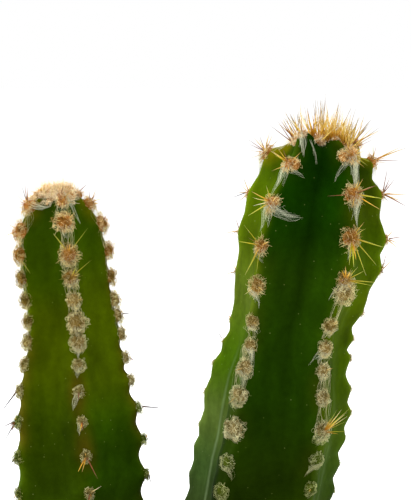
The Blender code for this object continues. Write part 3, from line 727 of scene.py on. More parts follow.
def addTuft(bin, draw, ball, areole, foot, radius, style, tone, detail, rust, lit=1.0):
    look = woolLook[style]
    t = np.linspace(0, 1, woolLook["steps"])
    flat = np.array([1.0, 1.06, look["dome"]]) * radius
    middle = foot - areole["out"] * radius * woolLook["sink"]
    # painted shade: tints darkened on ribs whose tufts sit in shade, the blue most
    dimming = np.array([lit, lit, lit ** 1.8])
    heart, rim, gap = (colourCurve(woolLook[name])(tone) * dimming for name in ("heart", "rim", "gap"))
    points, faces = ball
    seed = draw.uniform(0, 50)

    def lumpy(at):  # the same uneven swelling for the core and the fibres round it
        egg = 1 + 0.10 * np.clip(-at[..., 1:2], 0, 1)
        return at * egg * (1 + look["lumps"] * noiseAt(unit(at), 1.5, seed)[..., None])

    def clumps(at):  # bright locks and hollows darkened with painted shade, the same for the core and the fibres
        return np.clip(look["light"] + 1.25 * noiseAt(unit(at), 2.9, seed + 9.0), 0, 1)[..., None]

    core = (lumpy(points) * 0.80 * flat) @ areole["turned"].T + middle
    # the core is coloured from the gaps' painted shade towards the heart, darkest in the hollows
    addToBin(bin, core, faces, blend(gap, blend(gap, heart, 0.7), clumps(points)))
    count = int(look["fibres"] * detail * (radius / (woolLook["usualRadius"] * mm)) ** 1.3)
    numbers = [int(count * look["curls"]), int(count * look["spikes"])]
    numbers.append(count - sum(numbers))
    parts = (curls(draw, numbers[0], t, look["bare"]), spikes(draw, numbers[1], t, look["reach"]),
             fringe(draw, numbers[2], t, look["reach"]))
    paths = np.concatenate([path for path, _ in parts])
    polar = np.concatenate([angle for _, angle in parts])
    outer = np.clip((polar - 0.05) / 0.75 + draw.normal(size=count) * 0.35 + (1 - rust) * 0.6 - 0.15, 0, 1)
    bright = clumps(paths[:, 2]) * draw.uniform(0.7, 1.0, (count, 1))
    # fibres in the hollows are darkened with painted shade
    tint = blend(blend(gap, heart, 0.75), blend(heart, rim, outer[:, None]), bright) * look["glow"]
    along = blend(0.72, 1.08, t)[None, :, None]
    wide = 1.0 if detail > 0.8 else 1.5
    girth = woolLook["fibreRadius"] * mm * wide * draw.uniform(0.7, 1.3, count)[:, None]
    girth = girth * blend(1.1, 0.5, t)
    # fibres over a hollow lie lower than those on a lock
    paths = paths * (0.93 + 0.12 * bright[:, None])
    addStrands(bin, (lumpy(paths) * flat) @ areole["turned"].T + middle, girth, tint[:, None] * along)


def woolStyle(key, row):
    if row >= woolLook[key]["oldFromRow"]:
        return "old"
    return "grown" if row >= woolLook[key]["grownFromRow"] else "young"


def crownPoint(stem, x, y):  # the skin at a short way right of the growing tip and behind it
    azimuth = math.degrees(math.atan2(x, -y)) - float(stem["twist"](stem["top"]))
    for rib in range(ribCount):
        width = (stem["ribs"][(rib + 1) % ribCount] - stem["ribs"][rib]) % 360
        turned = (azimuth - stem["ribs"][rib]) % 360
        if turned < width:
            return skinPoint(stem, math.hypot(x, y), rib + turned / width)


def crownFrame(x, y):  # directions for a tuft that stands on the crown
    out = unit(np.array([x / 9, y / 9, mm]))
    side = unit(np.cross([0.0, 1.0, 0.2], out))
    return {"out": out, "turned": np.stack([side, np.cross(out, side), out], axis=-1)}


def buildWool(key, stem, material):
    draw = np.random.default_rng(stem["seed"])
    ball = unitBall(2)
    bins = {"Crown": newBin(), "Rib": newBin(), "Back": newBin()}
    for areole in stem["areoles"].values():
        row, rib, shown = areole["row"], areole["rib"], areole["shown"]
        bin = bins["Back" if not shown else "Crown" if row < woolLook["crownRows"] else "Rib"]
        radius = woolRadius(key, areole) * draw.uniform(0.95, 1.05)
        style, detail = woolStyle(key, row), 1.0 if shown else woolLook["backDetail"]
        rust = draw.uniform(0.2, 0.9)
        tone = min(row, woolLook[key]["lastTone"]) if rib == 1 else row
        lit = float(woolLook[key]["litCurves"][rib](row)) if rib in woolLook[key]["litCurves"] else 1.0
        addTuft(bin, draw, ball, areole, areole["foot"], radius, style, tone, detail, rust, lit)
        if (rib, row) in woolLook[key]["twins"]:
            lower, right, twin = woolLook[key]["twins"][rib, row]
            foot = onSkin(stem, row + lower, rib) + areole["side"] * right * mm
            tone = 1 if row == 1 else row + 2
            radius = twin * mm * woolLook["scale"]
            addTuft(bin, draw, ball, areole, foot, radius, "grown", tone, detail, 0.2)
    forward, golden = woolLook["goldenFront"]
    for x, y, lift, radius in woolLook["feltOver"][key]:
        foot = crownPoint(stem, x * mm, y * mm) + np.array([0, 0, lift * mm])
        rust = draw.uniform(0.0, 0.45) + (golden if y < forward else 0.0)
        frontal = crownFrame(x * mm, y * mm)
        addTuft(bins["Crown"], draw, ball, frontal, foot, radius * mm, "felt", 0, 1.0, rust)
    for zone, bin in bins.items():
        pieceFromBin(key + zone + "Wool", bin, material)


def areoleWool():
    material = newMaterial("areoleWool", specular=0.02, roughness=0.95)
    setColour(material, tinted(material, 0.86, 1.12, 2600, 2, 0.6))
    shader = shaderOf(material)
    shader.inputs["Sheen Weight"].default_value = 0.04
    shader.inputs["Sheen Roughness"].default_value = 0.6
    shader.inputs["Sheen Tint"].default_value = (*paint((240, 225, 170)), 1)
    setBump(material, cloud(material, 3000, 3, 0.6), 0.4, 0.0002)
    return material


creamWool = areoleWool()
for key, stem in stems.items():
    buildWool(key, stem, creamWool)


# long white hairs, combed down from each tuft to a point

hairLook = {
    "radius": 0.0145,  # mm
    "steps": 6,
    "fresh": (232, 234, 204),
    "weathered": (184, 186, 128),
    "bridge": (226, 216, 168),
    "spread": 0.9,  # of the tuft's radius, each way
    "usualTuft": 1.35,  # its radius in mm, for the counts and lengths below
    "count": ((0, 8), (1, 16), (4, 18), (8, 24), (12, 16), (18, 8)),
    "right": {
        "dulled": 1,
        "length": ((0, 3.6), (1, 4.4), (3, 3.2), (5, 2.5), (9, 2.2), (18, 1.8)),
        # rib, row: how far down and how far sideways the point of the tail lies, in mm
        "tails": {(1, 10): (3.6, 1.5), (1, 9): (2.6, 0.5), (2, 10): (3, -1.6), (1, 6): (3.4, 0.6),
                  (2, 6): (2.8, -1.2), (1, 5): (2.8, 1), (1, 7): (3.4, 0.4), (2, 9): (2.8, -0.6)},
    },
    "left": {
        "dulled": 0.55,
        "length": ((0, 2.6), (2, 2.6), (6, 2.4), (8, 2.3), (18, 1.6)),
        "tails": {(1, 8): (2.4, -0.2), (1, 9): (3.2, -1.3), (1, 10): (2.6, -0.8), (1, 11): (1.6, -0.5),
                  (1, 12): (2, 0.2), (1, 7): (2.8, 0)},
    },
    # single wisps: rib, row, then where they start and end in mm right of the areole and above it, how
    # many hairs, how wide they start, and how far they bow to one side
    "wisps": {
        "right": ((1, 2, 0.5, -0.6, 5.8, -2.4, 24, 0.5, -0.16),
                  (1, 1, 0.6, -0.5, 3.6, -1.8, 12, 0.4, -0.12), (1, 0, 0, -0.4, 1.1, -4, 26, 0.34, 0.05),
                  (1, 0, 1.7, -0.4, 3.4, -4.8, 6, 0.3, 0.05), (0, 0, 0.2, -0.4, 0.8, -4, 12, 0.3, 0),
                  (2, 1, -0.8, -0.8, -2.6, -3.4, 10, 0.36, -0.1),
                  (2, 1, 0.1, -0.6, 0.2, -6, 34, 0.6, 0.03), (1, 1, -0.4, -0.6, -0.7, -5, 18, 0.42, 0.06),
                  (1, 2, -0.4, -0.8, -1.3, -5.2, 16, 0.6, 0.05),
                  (2, 2, 0.8, -0.6, 1.5, -5.4, 34, 0.6, -0.05),
                  (2, 6, -0.4, -0.4, -2.8, -3, 8, 0.4, -0.1), (2, 4, -0.4, -0.4, -2, -3.6, 10, 0.4, -0.1),
                  (1, 6, 0.4, -0.4, 1.6, -5.6, 6, 0.4, 0.05),
                  (1, 4, -0.3, -0.8, 0.8, -4.2, 18, 0.36, 0.14),
                  (0, 1, 0.3, -0.6, 0.5, -3.2, 14, 0.4, 0)),
        "left": ((0, 1, 1, 0, 4, 0.9, 24, 0.3, -0.1), (1, 0, 0.8, -0.2, 2.2, -3.8, 34, 0.36, 0.04),
                 (1, 3, -0.4, -0.4, -1.8, -2.4, 8, 0.4, -0.1), (2, 1, 0.4, -0.4, 1.2, -4, 6, 0.3, 0.1)),
    },
}


def buildHairs(key, stem, material):
    draw = np.random.default_rng(stem["seed"] + 500)
    bin = newBin()
    look = hairLook[key]
    t = np.linspace(0, 1, hairLook["steps"])
    howMany, howLong = smoothCurve(hairLook["count"]), smoothCurve(look["length"])
    fresh, weathered, bridge = (paint(hairLook[name]) for name in ("fresh", "weathered", "bridge"))

    def addHairs(areole, starts, ends, tint, wave=0.16, thick=1.0, sag=0.0):
        # starts and ends are (right, up) in mm on the skin around the areole
        count = len(starts)
        row, rib = areole["row"], areole["rib"]
        bow = draw.normal(size=(count, 2)) * wave + (ends - starts)[:, ::-1] * np.array([-1, 1]) * sag
        curl = draw.normal(size=(count, 2)) * wave * 0.6
        flat = blend(starts[:, None], ends[:, None], (t ** 1.1)[:, None])
        flat = flat + bow[:, None] * np.sin(math.pi * t)[:, None]
        flat = flat + curl[:, None] * np.sin(2 * math.pi * t)[:, None]
        rowSpan = onSkin(stem, row + 0.5, rib) - onSkin(stem, max(0, row - 0.5), rib)
        rowLength = float(np.linalg.norm(rowSpan)) * (2 if row == 0 else 1)
        around = skinPoint(stem, rowDistance(stem, row, rib), rib + 0.05)
        placeLength = float(np.linalg.norm(around - areole["foot"])) / 0.05
        rows = row - flat[..., 1] * mm / rowLength
        places = rib + flat[..., 0] * mm / placeLength
        radius = woolRadius(key, areole)
        lift = (radius * draw.uniform(0.1, 0.9, count)[:, None] * (1 - t) ** 1.3
                + draw.uniform(0.0, 0.5, count)[:, None] * mm * np.sin(math.pi * t) + 0.03 * mm)
        last = len(stem["stations"]) - 0.6
        path = onSkin(stem, np.clip(rows, 0.0, last), places, lift)
        tint = tint * draw.uniform(0.74, 1.06, count)[:, None]
        girth = hairLook["radius"] * mm * thick * draw.uniform(0.6, 1.3, count)[:, None]
        girth = girth * blend(1.0, 0.6, t)
        addStrands(bin, path, girth, np.broadcast_to(tint[:, None], path.shape))

    for areole in stem["areoles"].values():
        row, rib = areole["row"], areole["rib"]
        if not areole["shown"] and row % 2:
            continue
        radius = woolRadius(key, areole) / mm
        few = 1.0 if areole["shown"] else 0.4
        hooked = (rib, row) in look["tails"]
        size = radius / hairLook["usualTuft"]
        count = int(howMany(row) * few * size * draw.uniform(0.75, 1.25) * (1.7 if hooked else 1.0))
        down, right = look["tails"].get((rib, row), (float(howLong(row)) * size, draw.normal() * 0.35))
        across = draw.uniform(-1, 1, count)
        starts = np.stack([across * radius * hairLook["spread"] * (0.75 if hooked else 1.0),
                           -radius * draw.uniform(0.2, 0.9, count) * (1 - 0.5 * across ** 2)], axis=-1)
        reach = draw.uniform(0.30, 1.05, count) ** 0.9
        loose = 0.5 if hooked else 1.0
        astray = (across * 0.55 * (1.15 - reach) + draw.normal(size=count) * 0.14) * loose
        ends = np.stack([right * reach + astray, -down * reach], axis=-1)
        sag = 0.12 * np.sign(right) if hooked else 0.0
        addHairs(areole, starts, ends, blend(fresh, weathered, look["dulled"] * rising(row, 4, 7)), sag=sag)
    for rib, row, startRight, startUp, endRight, endUp, count, wide, bow in hairLook["wisps"][key]:
        areole = stem["areoles"][rib, row]
        start, end = np.array([startRight, startUp]), np.array([endRight, endUp])
        starts = draw.normal(size=(count, 2)) * wide + start
        reach = draw.uniform(0.35, 1.05, count)[:, None]
        ends = blend(start, end, reach) + draw.normal(size=(count, 2)) * wide * (1.0 - 0.82 * reach)
        addHairs(areole, starts, ends, fresh, wave=0.06 + 0.2 * wide, thick=1.25, sag=bow)
    for rib, row, count in woolLook["bridges"][key]:
        areole, below = stem["areoles"][rib, row], stem["areoles"][rib, row + 1]
        gap = float(np.linalg.norm(below["foot"] - areole["foot"])) / mm
        top, foot = woolRadius(key, areole) / mm, woolRadius(key, below) / mm
        either = draw.choice([-1.0, 1.0], count) * draw.uniform(0.25, 0.85, count)
        starts = np.stack([either * top, -top * draw.uniform(0.3, 0.7, count)], axis=-1)
        ends = np.stack([either * foot * draw.uniform(0.6, 1.1, count),
                         -gap + foot * draw.uniform(0.2, 0.8, count)], axis=-1)
        addHairs(areole, starts, ends, bridge, wave=0.26, thick=1.15)
    pieceFromBin(key + "Hairs", bin, material)


def whiteHair():
    material = newMaterial("whiteHair", specular=0.2)
    setColour(material, tinted(material, 0.85, 1.08, 1800, 2))
    return material


paleHair = whiteHair()
for key, stem in stems.items():
    buildHairs(key, stem, paleHair)


# spines

spineLook = {
    "radius": 0.115,  # mm
    "sides": 5,
    "steps": 7,
    "lean": (30, 74),  # of chance spines below the crown
    # colour along a spine, from its root to its tip
    "kinds": {
        "golden": ((0, (126, 78, 8)), (0.18, (184, 122, 12)), (0.5, (216, 172, 50)),
                   (0.85, (208, 172, 90)), (1, (160, 124, 84))),
        "straw": ((0, (206, 148, 24)), (0.25, (236, 196, 84)), (0.7, (246, 224, 140)),
                  (1, (226, 208, 160))),
        "amber": ((0, (150, 96, 4)), (0.5, (190, 136, 14)), (1, (222, 176, 60))),
        "green": ((0, (140, 96, 8)), (0.3, (172, 152, 12)), (0.8, (172, 172, 52)), (1, (166, 166, 90))),
        "pale": ((0, (196, 160, 92)), (0.4, (232, 212, 150)), (1, (240, 228, 196))),
        "brown": ((0, (112, 56, 16)), (0.5, (140, 76, 34)), (1, (116, 76, 58))),
        "grey": ((0, (96, 66, 46)), (0.4, (62, 52, 56)), (1, (84, 74, 76))),
        "olive": ((0, (170, 116, 16)), (0.35, (196, 156, 44)), (0.7, (150, 124, 60)), (1, (104, 90, 62))),
    },
    # chance spines by row: how many, their length in mm, and their lean from straight out in degrees
    "right": {
        "count": ((0, 2), (1, 6), (2, 4), (3, 3), (4, 3), (5, 1.2), (6, 0.5), (18, 0.4)),
        "length": ((0, 5.4), (1, 3.4), (3, 2.8), (5, 2), (18, 1.8)),
        "crownLean": (6, 50),
    },
    "left": {
        "count": ((0, 1), (1, 5), (2, 4), (3, 3), (5, 1), (7, 0.6), (18, 0.5)),
        "length": ((0, 2.4), (1, 2.2), (3, 1.8), (6, 1.4), (18, 1.5)),
        "crownLean": (10, 60),
    },
    # the brush over the growing tip, clump by clump: the roots' place right of the tip and behind it in mm,
    # their spread, how many, the lean to the right in degrees and its spread, lengths in mm, kinds and
    # thickness
    "tip": {
        "right": ((-4.2, -0.9, 0.4, 8, -34, 13, (5, 6.6), ("brown", "olive", "golden"), 0.95),
                  (-3.2, -1.4, 0.5, 10, -22, 10, (5.2, 7), ("golden", "olive", "golden"), 1.15),
                  (-1.8, -2.6, 0.2, 6, 2, 22, (4.4, 6.2), ("golden", "brown"), 1.2),
                  (-0.9, -2.5, 0.2, 5, 10, 20, (4.4, 6.2), ("golden", "golden", "straw"), 1.15),
                  (-2.4, 0.4, 1.1, 14, -16, 16, (4.8, 7), ("straw", "olive", "golden"), 0.8),
                  (-0.4, 0.2, 0.9, 9, 0, 6, (7.2, 8.8), ("olive", "brown", "olive"), 0.8),
                  (1.6, 0.3, 1.5, 14, 6, 11, (6.2, 7.8), ("olive", "golden", "olive"), 0.8),
                  (3.9, 0.1, 1.2, 10, 20, 12, (5.8, 7.2), ("olive", "golden", "olive"), 0.8),
                  (2, -0.9, 1.3, 76, 4, 14, (3.8, 5.8), ("straw", "straw", "straw", "golden"), 0.85),
                  (3.9, -0.6, 1.1, 48, 18, 14, (3.8, 5.8), ("straw", "straw", "straw", "golden"), 0.8),
                  (5.2, -0.4, 0.6, 12, 42, 14, (4.8, 6.6), ("golden", "olive", "brown", "straw"), 0.85),
                  (2.4, -1.9, 1.2, 44, 2, 22, (1.6, 2.8), ("amber",), 1),
                  (-1.4, -2, 1, 10, -4, 24, (1.8, 2.6), ("amber", "golden"), 0.9),
                  (0.6, 2.4, 2, 30, 4, 24, (3.6, 5.2), ("straw", "golden"), 0.85)),
        "left": ((-3.2, -0.6, 0.7, 8, -24, 16, (1.8, 2.8), ("pale", "golden"), 0.6),
                 (-1.2, -0.8, 1.2, 60, -8, 24, (2.8, 3.8), ("pale", "pale", "straw"), 0.42),
                 (0.9, -0.6, 1.2, 60, 10, 24, (2.8, 3.8), ("pale", "pale", "straw"), 0.42),
                 (2.6, -0.4, 0.5, 8, 26, 14, (1.8, 2.8), ("pale", "brown"), 0.6),
                 (-2.6, -1.8, 0.3, 9, -14, 26, (1, 1.7), ("amber",), 1),
                 (2.4, -1.5, 0.3, 9, 16, 26, (1, 1.7), ("amber",), 1)),
    },
}

# Spines that stand out one by one: rib and row, then for each spine its angle across the picture in
# degrees, length in mm, how far it leans towards the viewer, kind and thickness.
rightSpines = (
    (1, 1, (143, 3.2, 0.25, "golden", 1.1), (150, 2.6, 0.3, "green", 1), (128, 2.9, 0.3, "golden", 0.8)),
    (1, 2, (154, 3.7, 0.2, "golden", 1.2), (190, 3, 0.25, "pale", 0.9), (210, 4.4, 0.2, "green", 1.5),
     (108, 3.1, 0.5, "green", 1)),
    (1, 3, (165, 4.2, 0.2, "green", 1.1), (127, 4.5, 0.2, "green", 0.7), (244, 5.4, 0.2, "green", 1.6),
     (262, 4.4, 0.25, "green", 1)),
    (2, 1, (40, 2.6, 0.4, "golden", 0.9), (325, 3, 0.4, "green", 1), (340, 3, 0.3, "green", 0.9)),
    (2, 2, (23, 4.1, 0.2, "brown", 1.1), (351, 4.7, 0.2, "green", 1.6), (328, 5.2, 0.2, "golden", 1.1),
     (184, 4.6, 0.3, "brown", 0.9), (65, 3, 0.4, "golden", 0.9), (262, 2.6, 0.7, "golden", 1)),
    (2, 3, (343, 5.5, 0.2, "green", 1.5), (313, 6, 0.2, "green", 1.2), (289, 6.6, 0.25, "green", 1.2),
     (270, 5, 0.5, "green", 2), (260, 4.8, 0.5, "green", 1.8), (277, 4, 0.7, "amber", 1.8),
     (40, 2.6, 0.3, "green", 0.8)),
    (2, 4, (350, 4.4, 0.3, "green", 1), (358, 5.2, 0.2, "green", 1.3), (30, 3.4, 0.25, "green", 0.9),
     (52, 3, 0.3, "green", 0.9), (95, 2.8, 0.6, "golden", 1.5), (112, 2.4, 0.8, "amber", 1.5),
     (72, 2.4, 0.8, "golden", 1.4)),
    (2, 9, (64, 5, 0.5, "green", 0.8), (55, 5.7, 0.5, "straw", 0.8), (48, 7, 0.4, "green", 0.6),
     (40, 5.4, 0.5, "straw", 0.7), (4, 4.2, 0.4, "green", 0.6), (60, 4.4, 0.7, "golden", 1),
     (51, 4.8, 0.6, "green", 1), (34, 4.6, 0.6, "green", 0.6), (46, 5.8, 0.5, "straw", 0.7),
     (70, 3.4, 0.6, "golden", 0.9), (52, 3, 0.9, "amber", 1.2), (356, 2.4, 0.5, "amber", 0.8)),
    (3, 1, (24, 5.9, 0, "golden", 1.3), (27, 5.2, 0, "golden", 1.1), (0, 4.6, 0, "brown", 0.8),
     (95, 2.8, 0.1, "green", 0.9), (120, 2.6, 0.3, "pale", 0.8)),
    (3, 2, (82, 4.5, 0, "brown", 0.9), (52, 3.2, 0, "brown", 0.9), (68, 3, 0.1, "brown", 0.9),
     (358, 4.6, 0, "golden", 1), (334, 4.9, 0, "brown", 1.2), (338, 3.6, 0, "golden", 1)),
    (3, 3, (7, 2.6, 0, "brown", 0.9), (337, 1.9, 0, "golden", 0.9), (317, 3.4, 0, "pale", 0.8)),
    (3, 4, (76, 3.2, 0, "brown", 0.8), (45, 2.6, 0, "golden", 0.8)),
    (0, 1, (144, 3.6, 0, "brown", 0.8), (128, 3.2, 0.1, "golden", 0.9), (110, 3, 0.1, "brown", 0.8),
     (67, 3.2, 0.1, "golden", 0.9), (80, 3.6, 0.1, "golden", 0.9), (43, 3, 0.2, "golden", 0.9),
     (155, 3, 0, "brown", 0.8)),
    (0, 2, (200, 2.6, 0, "grey", 0.9), (130, 1.8, 0.1, "pale", 0.7)),
    (0, 6, (120, 2.4, 0, "grey", 0.7)),
)
leftSpines = (
    (0, 1, (98, 3.8, 0.1, "brown", 0.8), (90, 3.2, 0.1, "brown", 0.8), (106, 3.6, 0.1, "grey", 0.7),
     (137, 2.9, 0.1, "pale", 0.7)),
    (0, 2, (205, 2.6, 0, "golden", 0.8)),
    (0, 3, (310, 4, 0.4, "green", 0.8)),
    (0, 9, (234, 5.4, 0, "grey", 1.5)),
    (0, 10, (204, 3.4, 0, "grey", 1.2), (241, 4.4, 0, "grey", 1.4), (250, 1.8, 0.3, "brown", 1.6),
     (222, 1.6, 0.3, "brown", 1.3)),
    (0, 11, (236, 2.2, 0, "grey", 1.1), (262, 1.8, 0.1, "grey", 1)),
    (2, 12, (284, 2.2, 0, "grey", 1.2)),
    (2, 8, (326, 1.6, 0.1, "brown", 1.1)),
    (1, 3, (125, 4.4, 0.25, "green", 1.4), (55, 5.6, 0.2, "green", 0.6)),
    (1, 4, (43, 4.8, 0.25, "green", 0.7)),
    (1, 3, (80, 2.4, 0.7, "golden", 1.3)),
    (1, 4, (65, 2.4, 0.6, "green", 1.2)),
    (1, 10, (262, 1.8, 0.7, "golden", 1.2), (280, 1.5, 0.7, "brown", 1.3)),
    (1, 9, (268, 1.6, 0.7, "brown", 1.2)),
    (1, 11, (240, 2.8, 0.5, "amber", 1.5), (255, 2.6, 0.5, "golden", 1.4), (299, 4.2, 0.3, "brown", 1)),
    (1, 12, (262, 1.8, 0.7, "brown", 1.2), (35, 2.4, 0.3, "pale", 0.7)),
    (2, 1, (70, 2.2, 0.1, "golden", 0.9), (12, 2.6, 0, "pale", 0.7)),
    (2, 6, (6, 2.4, 0, "grey", 0.9)),
    (2, 10, (357, 4.1, 0, "grey", 1.5)),
    (2, 11, (75, 1.4, 0, "pale", 0.9)),
)


def buildSpines(key, stem, singles, material):
    draw = np.random.default_rng(stem["seed"] + 900)
    look, tip = spineLook[key], spineLook["tip"][key]
    count, length = smoothCurve(look["count"]), smoothCurve(look["length"])
    t = np.linspace(0, 1, spineLook["steps"])
    kinds = {kind: colourCurve(colours)(t) for kind, colours in spineLook["kinds"].items()}
    paths, radii, tints = [], [], []

    def addSpine(start, direction, size, kind, thickness):
        direction = unit(direction)
        sideways = unit(np.cross(direction, draw.normal(size=3))) * draw.uniform(0, 0.06)
        paths.append(start + size * mm * (direction * t[:, None] + sideways * (t * t)[:, None]))
        radii.append(spineLook["radius"] * mm * thickness * (1 - 0.9 * t ** 1.3))
        tints.append(kinds[kind] * draw.uniform(0.82, 1.12))

    for areole in stem["areoles"].values():
        row = areole["row"]
        amount = int(float(count(row)) + draw.random())
        turn = draw.uniform(0, 2 * math.pi)
        radius = woolRadius(key, areole)
        for i in range(amount):
            around = turn + 2 * math.pi * (i + draw.uniform(-0.3, 0.3)) / max(1, amount)
            lean = math.radians(draw.uniform(*(look["crownLean"] if row == 0 else spineLook["lean"])))
            level = areole["side"] * math.cos(around) + areole["up"] * math.sin(around)
            direction = areole["out"] * math.cos(lean) + level * math.sin(lean)
            young = row < woolLook["crownRows"]
            kind = draw.choice(["golden", "golden", "straw", "brown"]) if young else "golden"
            size = float(length(row)) * draw.uniform(0.7, 1.15)
            thickness = draw.uniform(0.7, 1.1) * (1.15 if row == 0 else 0.85)
            addSpine(areole["foot"] + direction * radius * 0.15, direction, size, kind, thickness)
    for x, y, spread, amount, lean, fan, sizes, clump, thickness in tip:
        for i in range(amount):
            rootX, rootY = x + draw.normal() * spread * 0.6, y + draw.normal() * spread * 0.6
            turn = math.radians(lean + draw.normal() * fan)
            back = rootY * 0.10 + draw.normal() * 0.22
            direction = unit(np.array([math.sin(turn), back, math.cos(turn)]))
            start = crownPoint(stem, rootX * mm, rootY * mm) + direction * 0.2 * mm
            size = draw.uniform(*sizes)
            addSpine(start, direction, size, draw.choice(clump), thickness * draw.uniform(0.8, 1.2))
    for rib, row, *spines in singles:
        areole = stem["areoles"][rib, row]
        for angle, size, lean, kind, thickness in spines:
            turn = math.radians(angle)
            direction = unit(np.array([math.cos(turn), -lean, math.sin(turn)]))
            start = areole["foot"] + areole["out"] * 0.3 * mm + direction * 0.3 * mm
            addSpine(start, direction, size, kind, thickness)
    bin = newBin()
    addStrands(bin, np.array(paths), np.array(radii), np.array(tints), spineLook["sides"])
    pieceFromBin(key + "Spines", bin, material)


def hornySpine():
    material = newMaterial("hornySpine", specular=0.3, roughness=0.4)
    setColour(material, tinted(material, 0.85, 1.1, 2200))
    return material


goldSpine = hornySpine()
for key, singles in (("right", rightSpines), ("left", leftSpines)):
    buildSpines(key, stems[key], singles, goldSpine)


# clay pot, turned in rings

potLook = {
    "steps": 128,
    "cornerSteps": 5,
    # lengths in mm; a pair is a radius and a height
    "corner": 1.4,
    "rimRadius": 46,
    "height": 80,
    "bandFoot": (44.8, 59),
    "bodyTop": (40.5, 56.5),
    "footRadius": 31,
    "footRing": ((25, 0), (23.6, 1.4)),
    "drain": (5.5, 1.4, 6),  # its radius, and the heights of its ends
    "inside": ((26.5, 6), (35.3, 55), (38.2, 61), (40.7, 80)),
    "ringDepth": 0.05,  # of the turning marks
    "ringGap": 2.1,
    "lump": 0.12,
    "plainBelow": 4,
    "stretch": 1.5,  # the longest between two points of the outline
    "wallMiddle": ((36.5, 55), (39.4, 61), (42.1, 80)),
    "bloomFades": (0, 70),  # from this height on, over this way
    "limeLine": (72.2, 2.2),  # height and width of the lime where the wet mix meets the clay
    # colours by height
    "clay": ((0, (142, 74, 47)), (20, (155, 84, 54)), (55, (160, 88, 57)), (80, (154, 84, 55))),
    "bloom": (180, 144, 120),
    "pore": (92, 48, 32),
}


def rounded(corners, radius, steps):  # a closed outline with an arc at each corner that has room for one
    outline = []
    for i, corner in enumerate(corners):
        here = np.array(corner, float)
        before, after = np.array(corners[i - 1]) - here, np.array(corners[(i + 1) % len(corners)]) - here
        room = 0.45 * min(np.linalg.norm(before), np.linalg.norm(after))
        before, after = unit(before), unit(after)
        half = math.acos(float(np.clip(before @ after, -1, 1))) / 2
        reach = min(room, radius / math.tan(half))
        for t in np.linspace(0, 1, steps):
            outline.append(here + before * reach * (1 - t) ** 2 + after * reach * t ** 2)
    return np.array(outline)


def filled(outline, step):  # adds points so that no stretch of the outline is longer than step
    points = []
    for a, b in zip(outline, np.roll(outline, -1, axis=0)):
        parts = max(1, int(np.linalg.norm(b - a) / step))
        points += [blend(a, b, i / parts) for i in range(parts)]
    return np.array(points)


def addLathe(bin, profile, steps, tintFor, moved=None):  # a closed profile turned round the Z axis
    turn = np.arange(steps) / steps * 2 * math.pi
    points = np.stack([profile[:, :1] * np.sin(turn), -profile[:, :1] * np.cos(turn),
                       profile[:, 1:] + 0 * turn], axis=-1)
    points = moved(points) if moved else points
    n = len(profile)
    here = np.arange(n * steps).reshape(n, steps)
    after = np.roll(here, -1, axis=1)
    quads = np.stack([here, np.roll(here, -1, axis=0), np.roll(after, -1, axis=0), after], axis=-1)
    addToBin(bin, points, quads.reshape(-1, 4), tintFor(points).reshape(-1, 3))


def buildPot(material):
    look = potLook
    drain, under, floor = look["drain"]
    corners = [(look["rimRadius"], look["height"]), look["bandFoot"], look["bodyTop"],
               (look["footRadius"], 0.0), *look["footRing"], (drain, under), (drain, floor),
               *look["inside"]]
    profile = filled(rounded(corners, look["corner"], look["cornerSteps"]), look["stretch"]) * mm
    clay = colourCurve(look["clay"])

    def wobble(points):
        z = points[..., 2] / mm
        rings = np.sin(z * 2 * math.pi / look["ringGap"] + 1.5 * np.sin(z * 0.19)) * look["ringDepth"]
        outward = unit(points * np.array([1, 1, 0]))
        lump = noiseAt(points, 60) * look["lump"]
        return points + outward * np.where(z > look["plainBelow"], rings + lump, 0)[..., None] * mm

    def tintFor(points):
        z = points[..., 2] / mm
        uneven = 0.30 * noiseAt(points, 45, 2.0) + 0.14 * noiseAt(points, 260, 4.0)
        colour = clay(z) * (1 + uneven)[..., None]
        middle, heights = zip(*look["wallMiddle"])
        inner = np.hypot(points[..., 0], points[..., 1]) / mm < np.interp(z, heights, middle)
        lime = bell(z, *look["limeLine"]) * inner
        haze = np.clip(noiseAt(points * np.array([1, 1, 0.5]), 38, 9.0) + 0.02, 0, 1)
        haze = haze * (1 - rising(z, *look["bloomFades"]))
        return blend(colour, paint(look["bloom"]), np.clip(haze * 0.9 + lime * 0.5, 0, 0.7)[..., None])

    bin = newBin()
    addLathe(bin, profile, look["steps"], tintFor, wobble)
    pieceFromBin("clayPot", bin, material, replaced="pot")


def firedClay():
    material = newMaterial("firedClay", specular=0.2, roughness=0.88)
    pores = texture(material, "ShaderNodeTexVoronoi", "Distance", Scale=640)
    dark = ramp(material, pores, [(0.0, 0.5), (0.10, 0.0)])
    fired = tinted(material, 0.86, 1.12, 700, 5, 0.65)
    setColour(material, mixed(material, dark, fired, paint(potLook["pore"])))
    setBump(material, cloud(material, 1100, 5, 0.6), 0.35, 0.0004)
    return material


buildPot(firedClay())


# potting mix and its crumbs

soilLook = {
    "steps": 180,
    "rings": 44,
    # lengths in mm
    "wallRadius": 39,
    "floorRadius": 26.1,
    "floorHeight": 6.3,
    "edgeDrop": 1.2,
    "relief": 1.1,
    "grain": 0.35,
    "dark": (50, 36, 27),
    "light": (92, 70, 52),
    "crumbs": 640,
    "clearOfStems": 12.5,
    # kind: share of the crumbs, size in mm, how flat and how long, and two tints
    "kinds": {
        "peat": (0.56, (0.5, 1.5), (0.75, 1.2), (38, 27, 20), (78, 57, 42)),
        "bark": (0.3, (0.8, 2.3), (0.38, 1.7), (74, 46, 30), (120, 82, 54)),
        "grit": (0.14, (0.4, 1), (0.85, 1.15), (150, 140, 124), (206, 200, 188)),
    },
}


def soilRelief(points):  # the height of the mix above its level, in metres
    lump = noiseAt(points, 210) + 0.5 * noiseAt(points, 520)
    return (soilLook["relief"] * lump + soilLook["grain"] * noiseAt(points, 1100, 4.0)) * mm


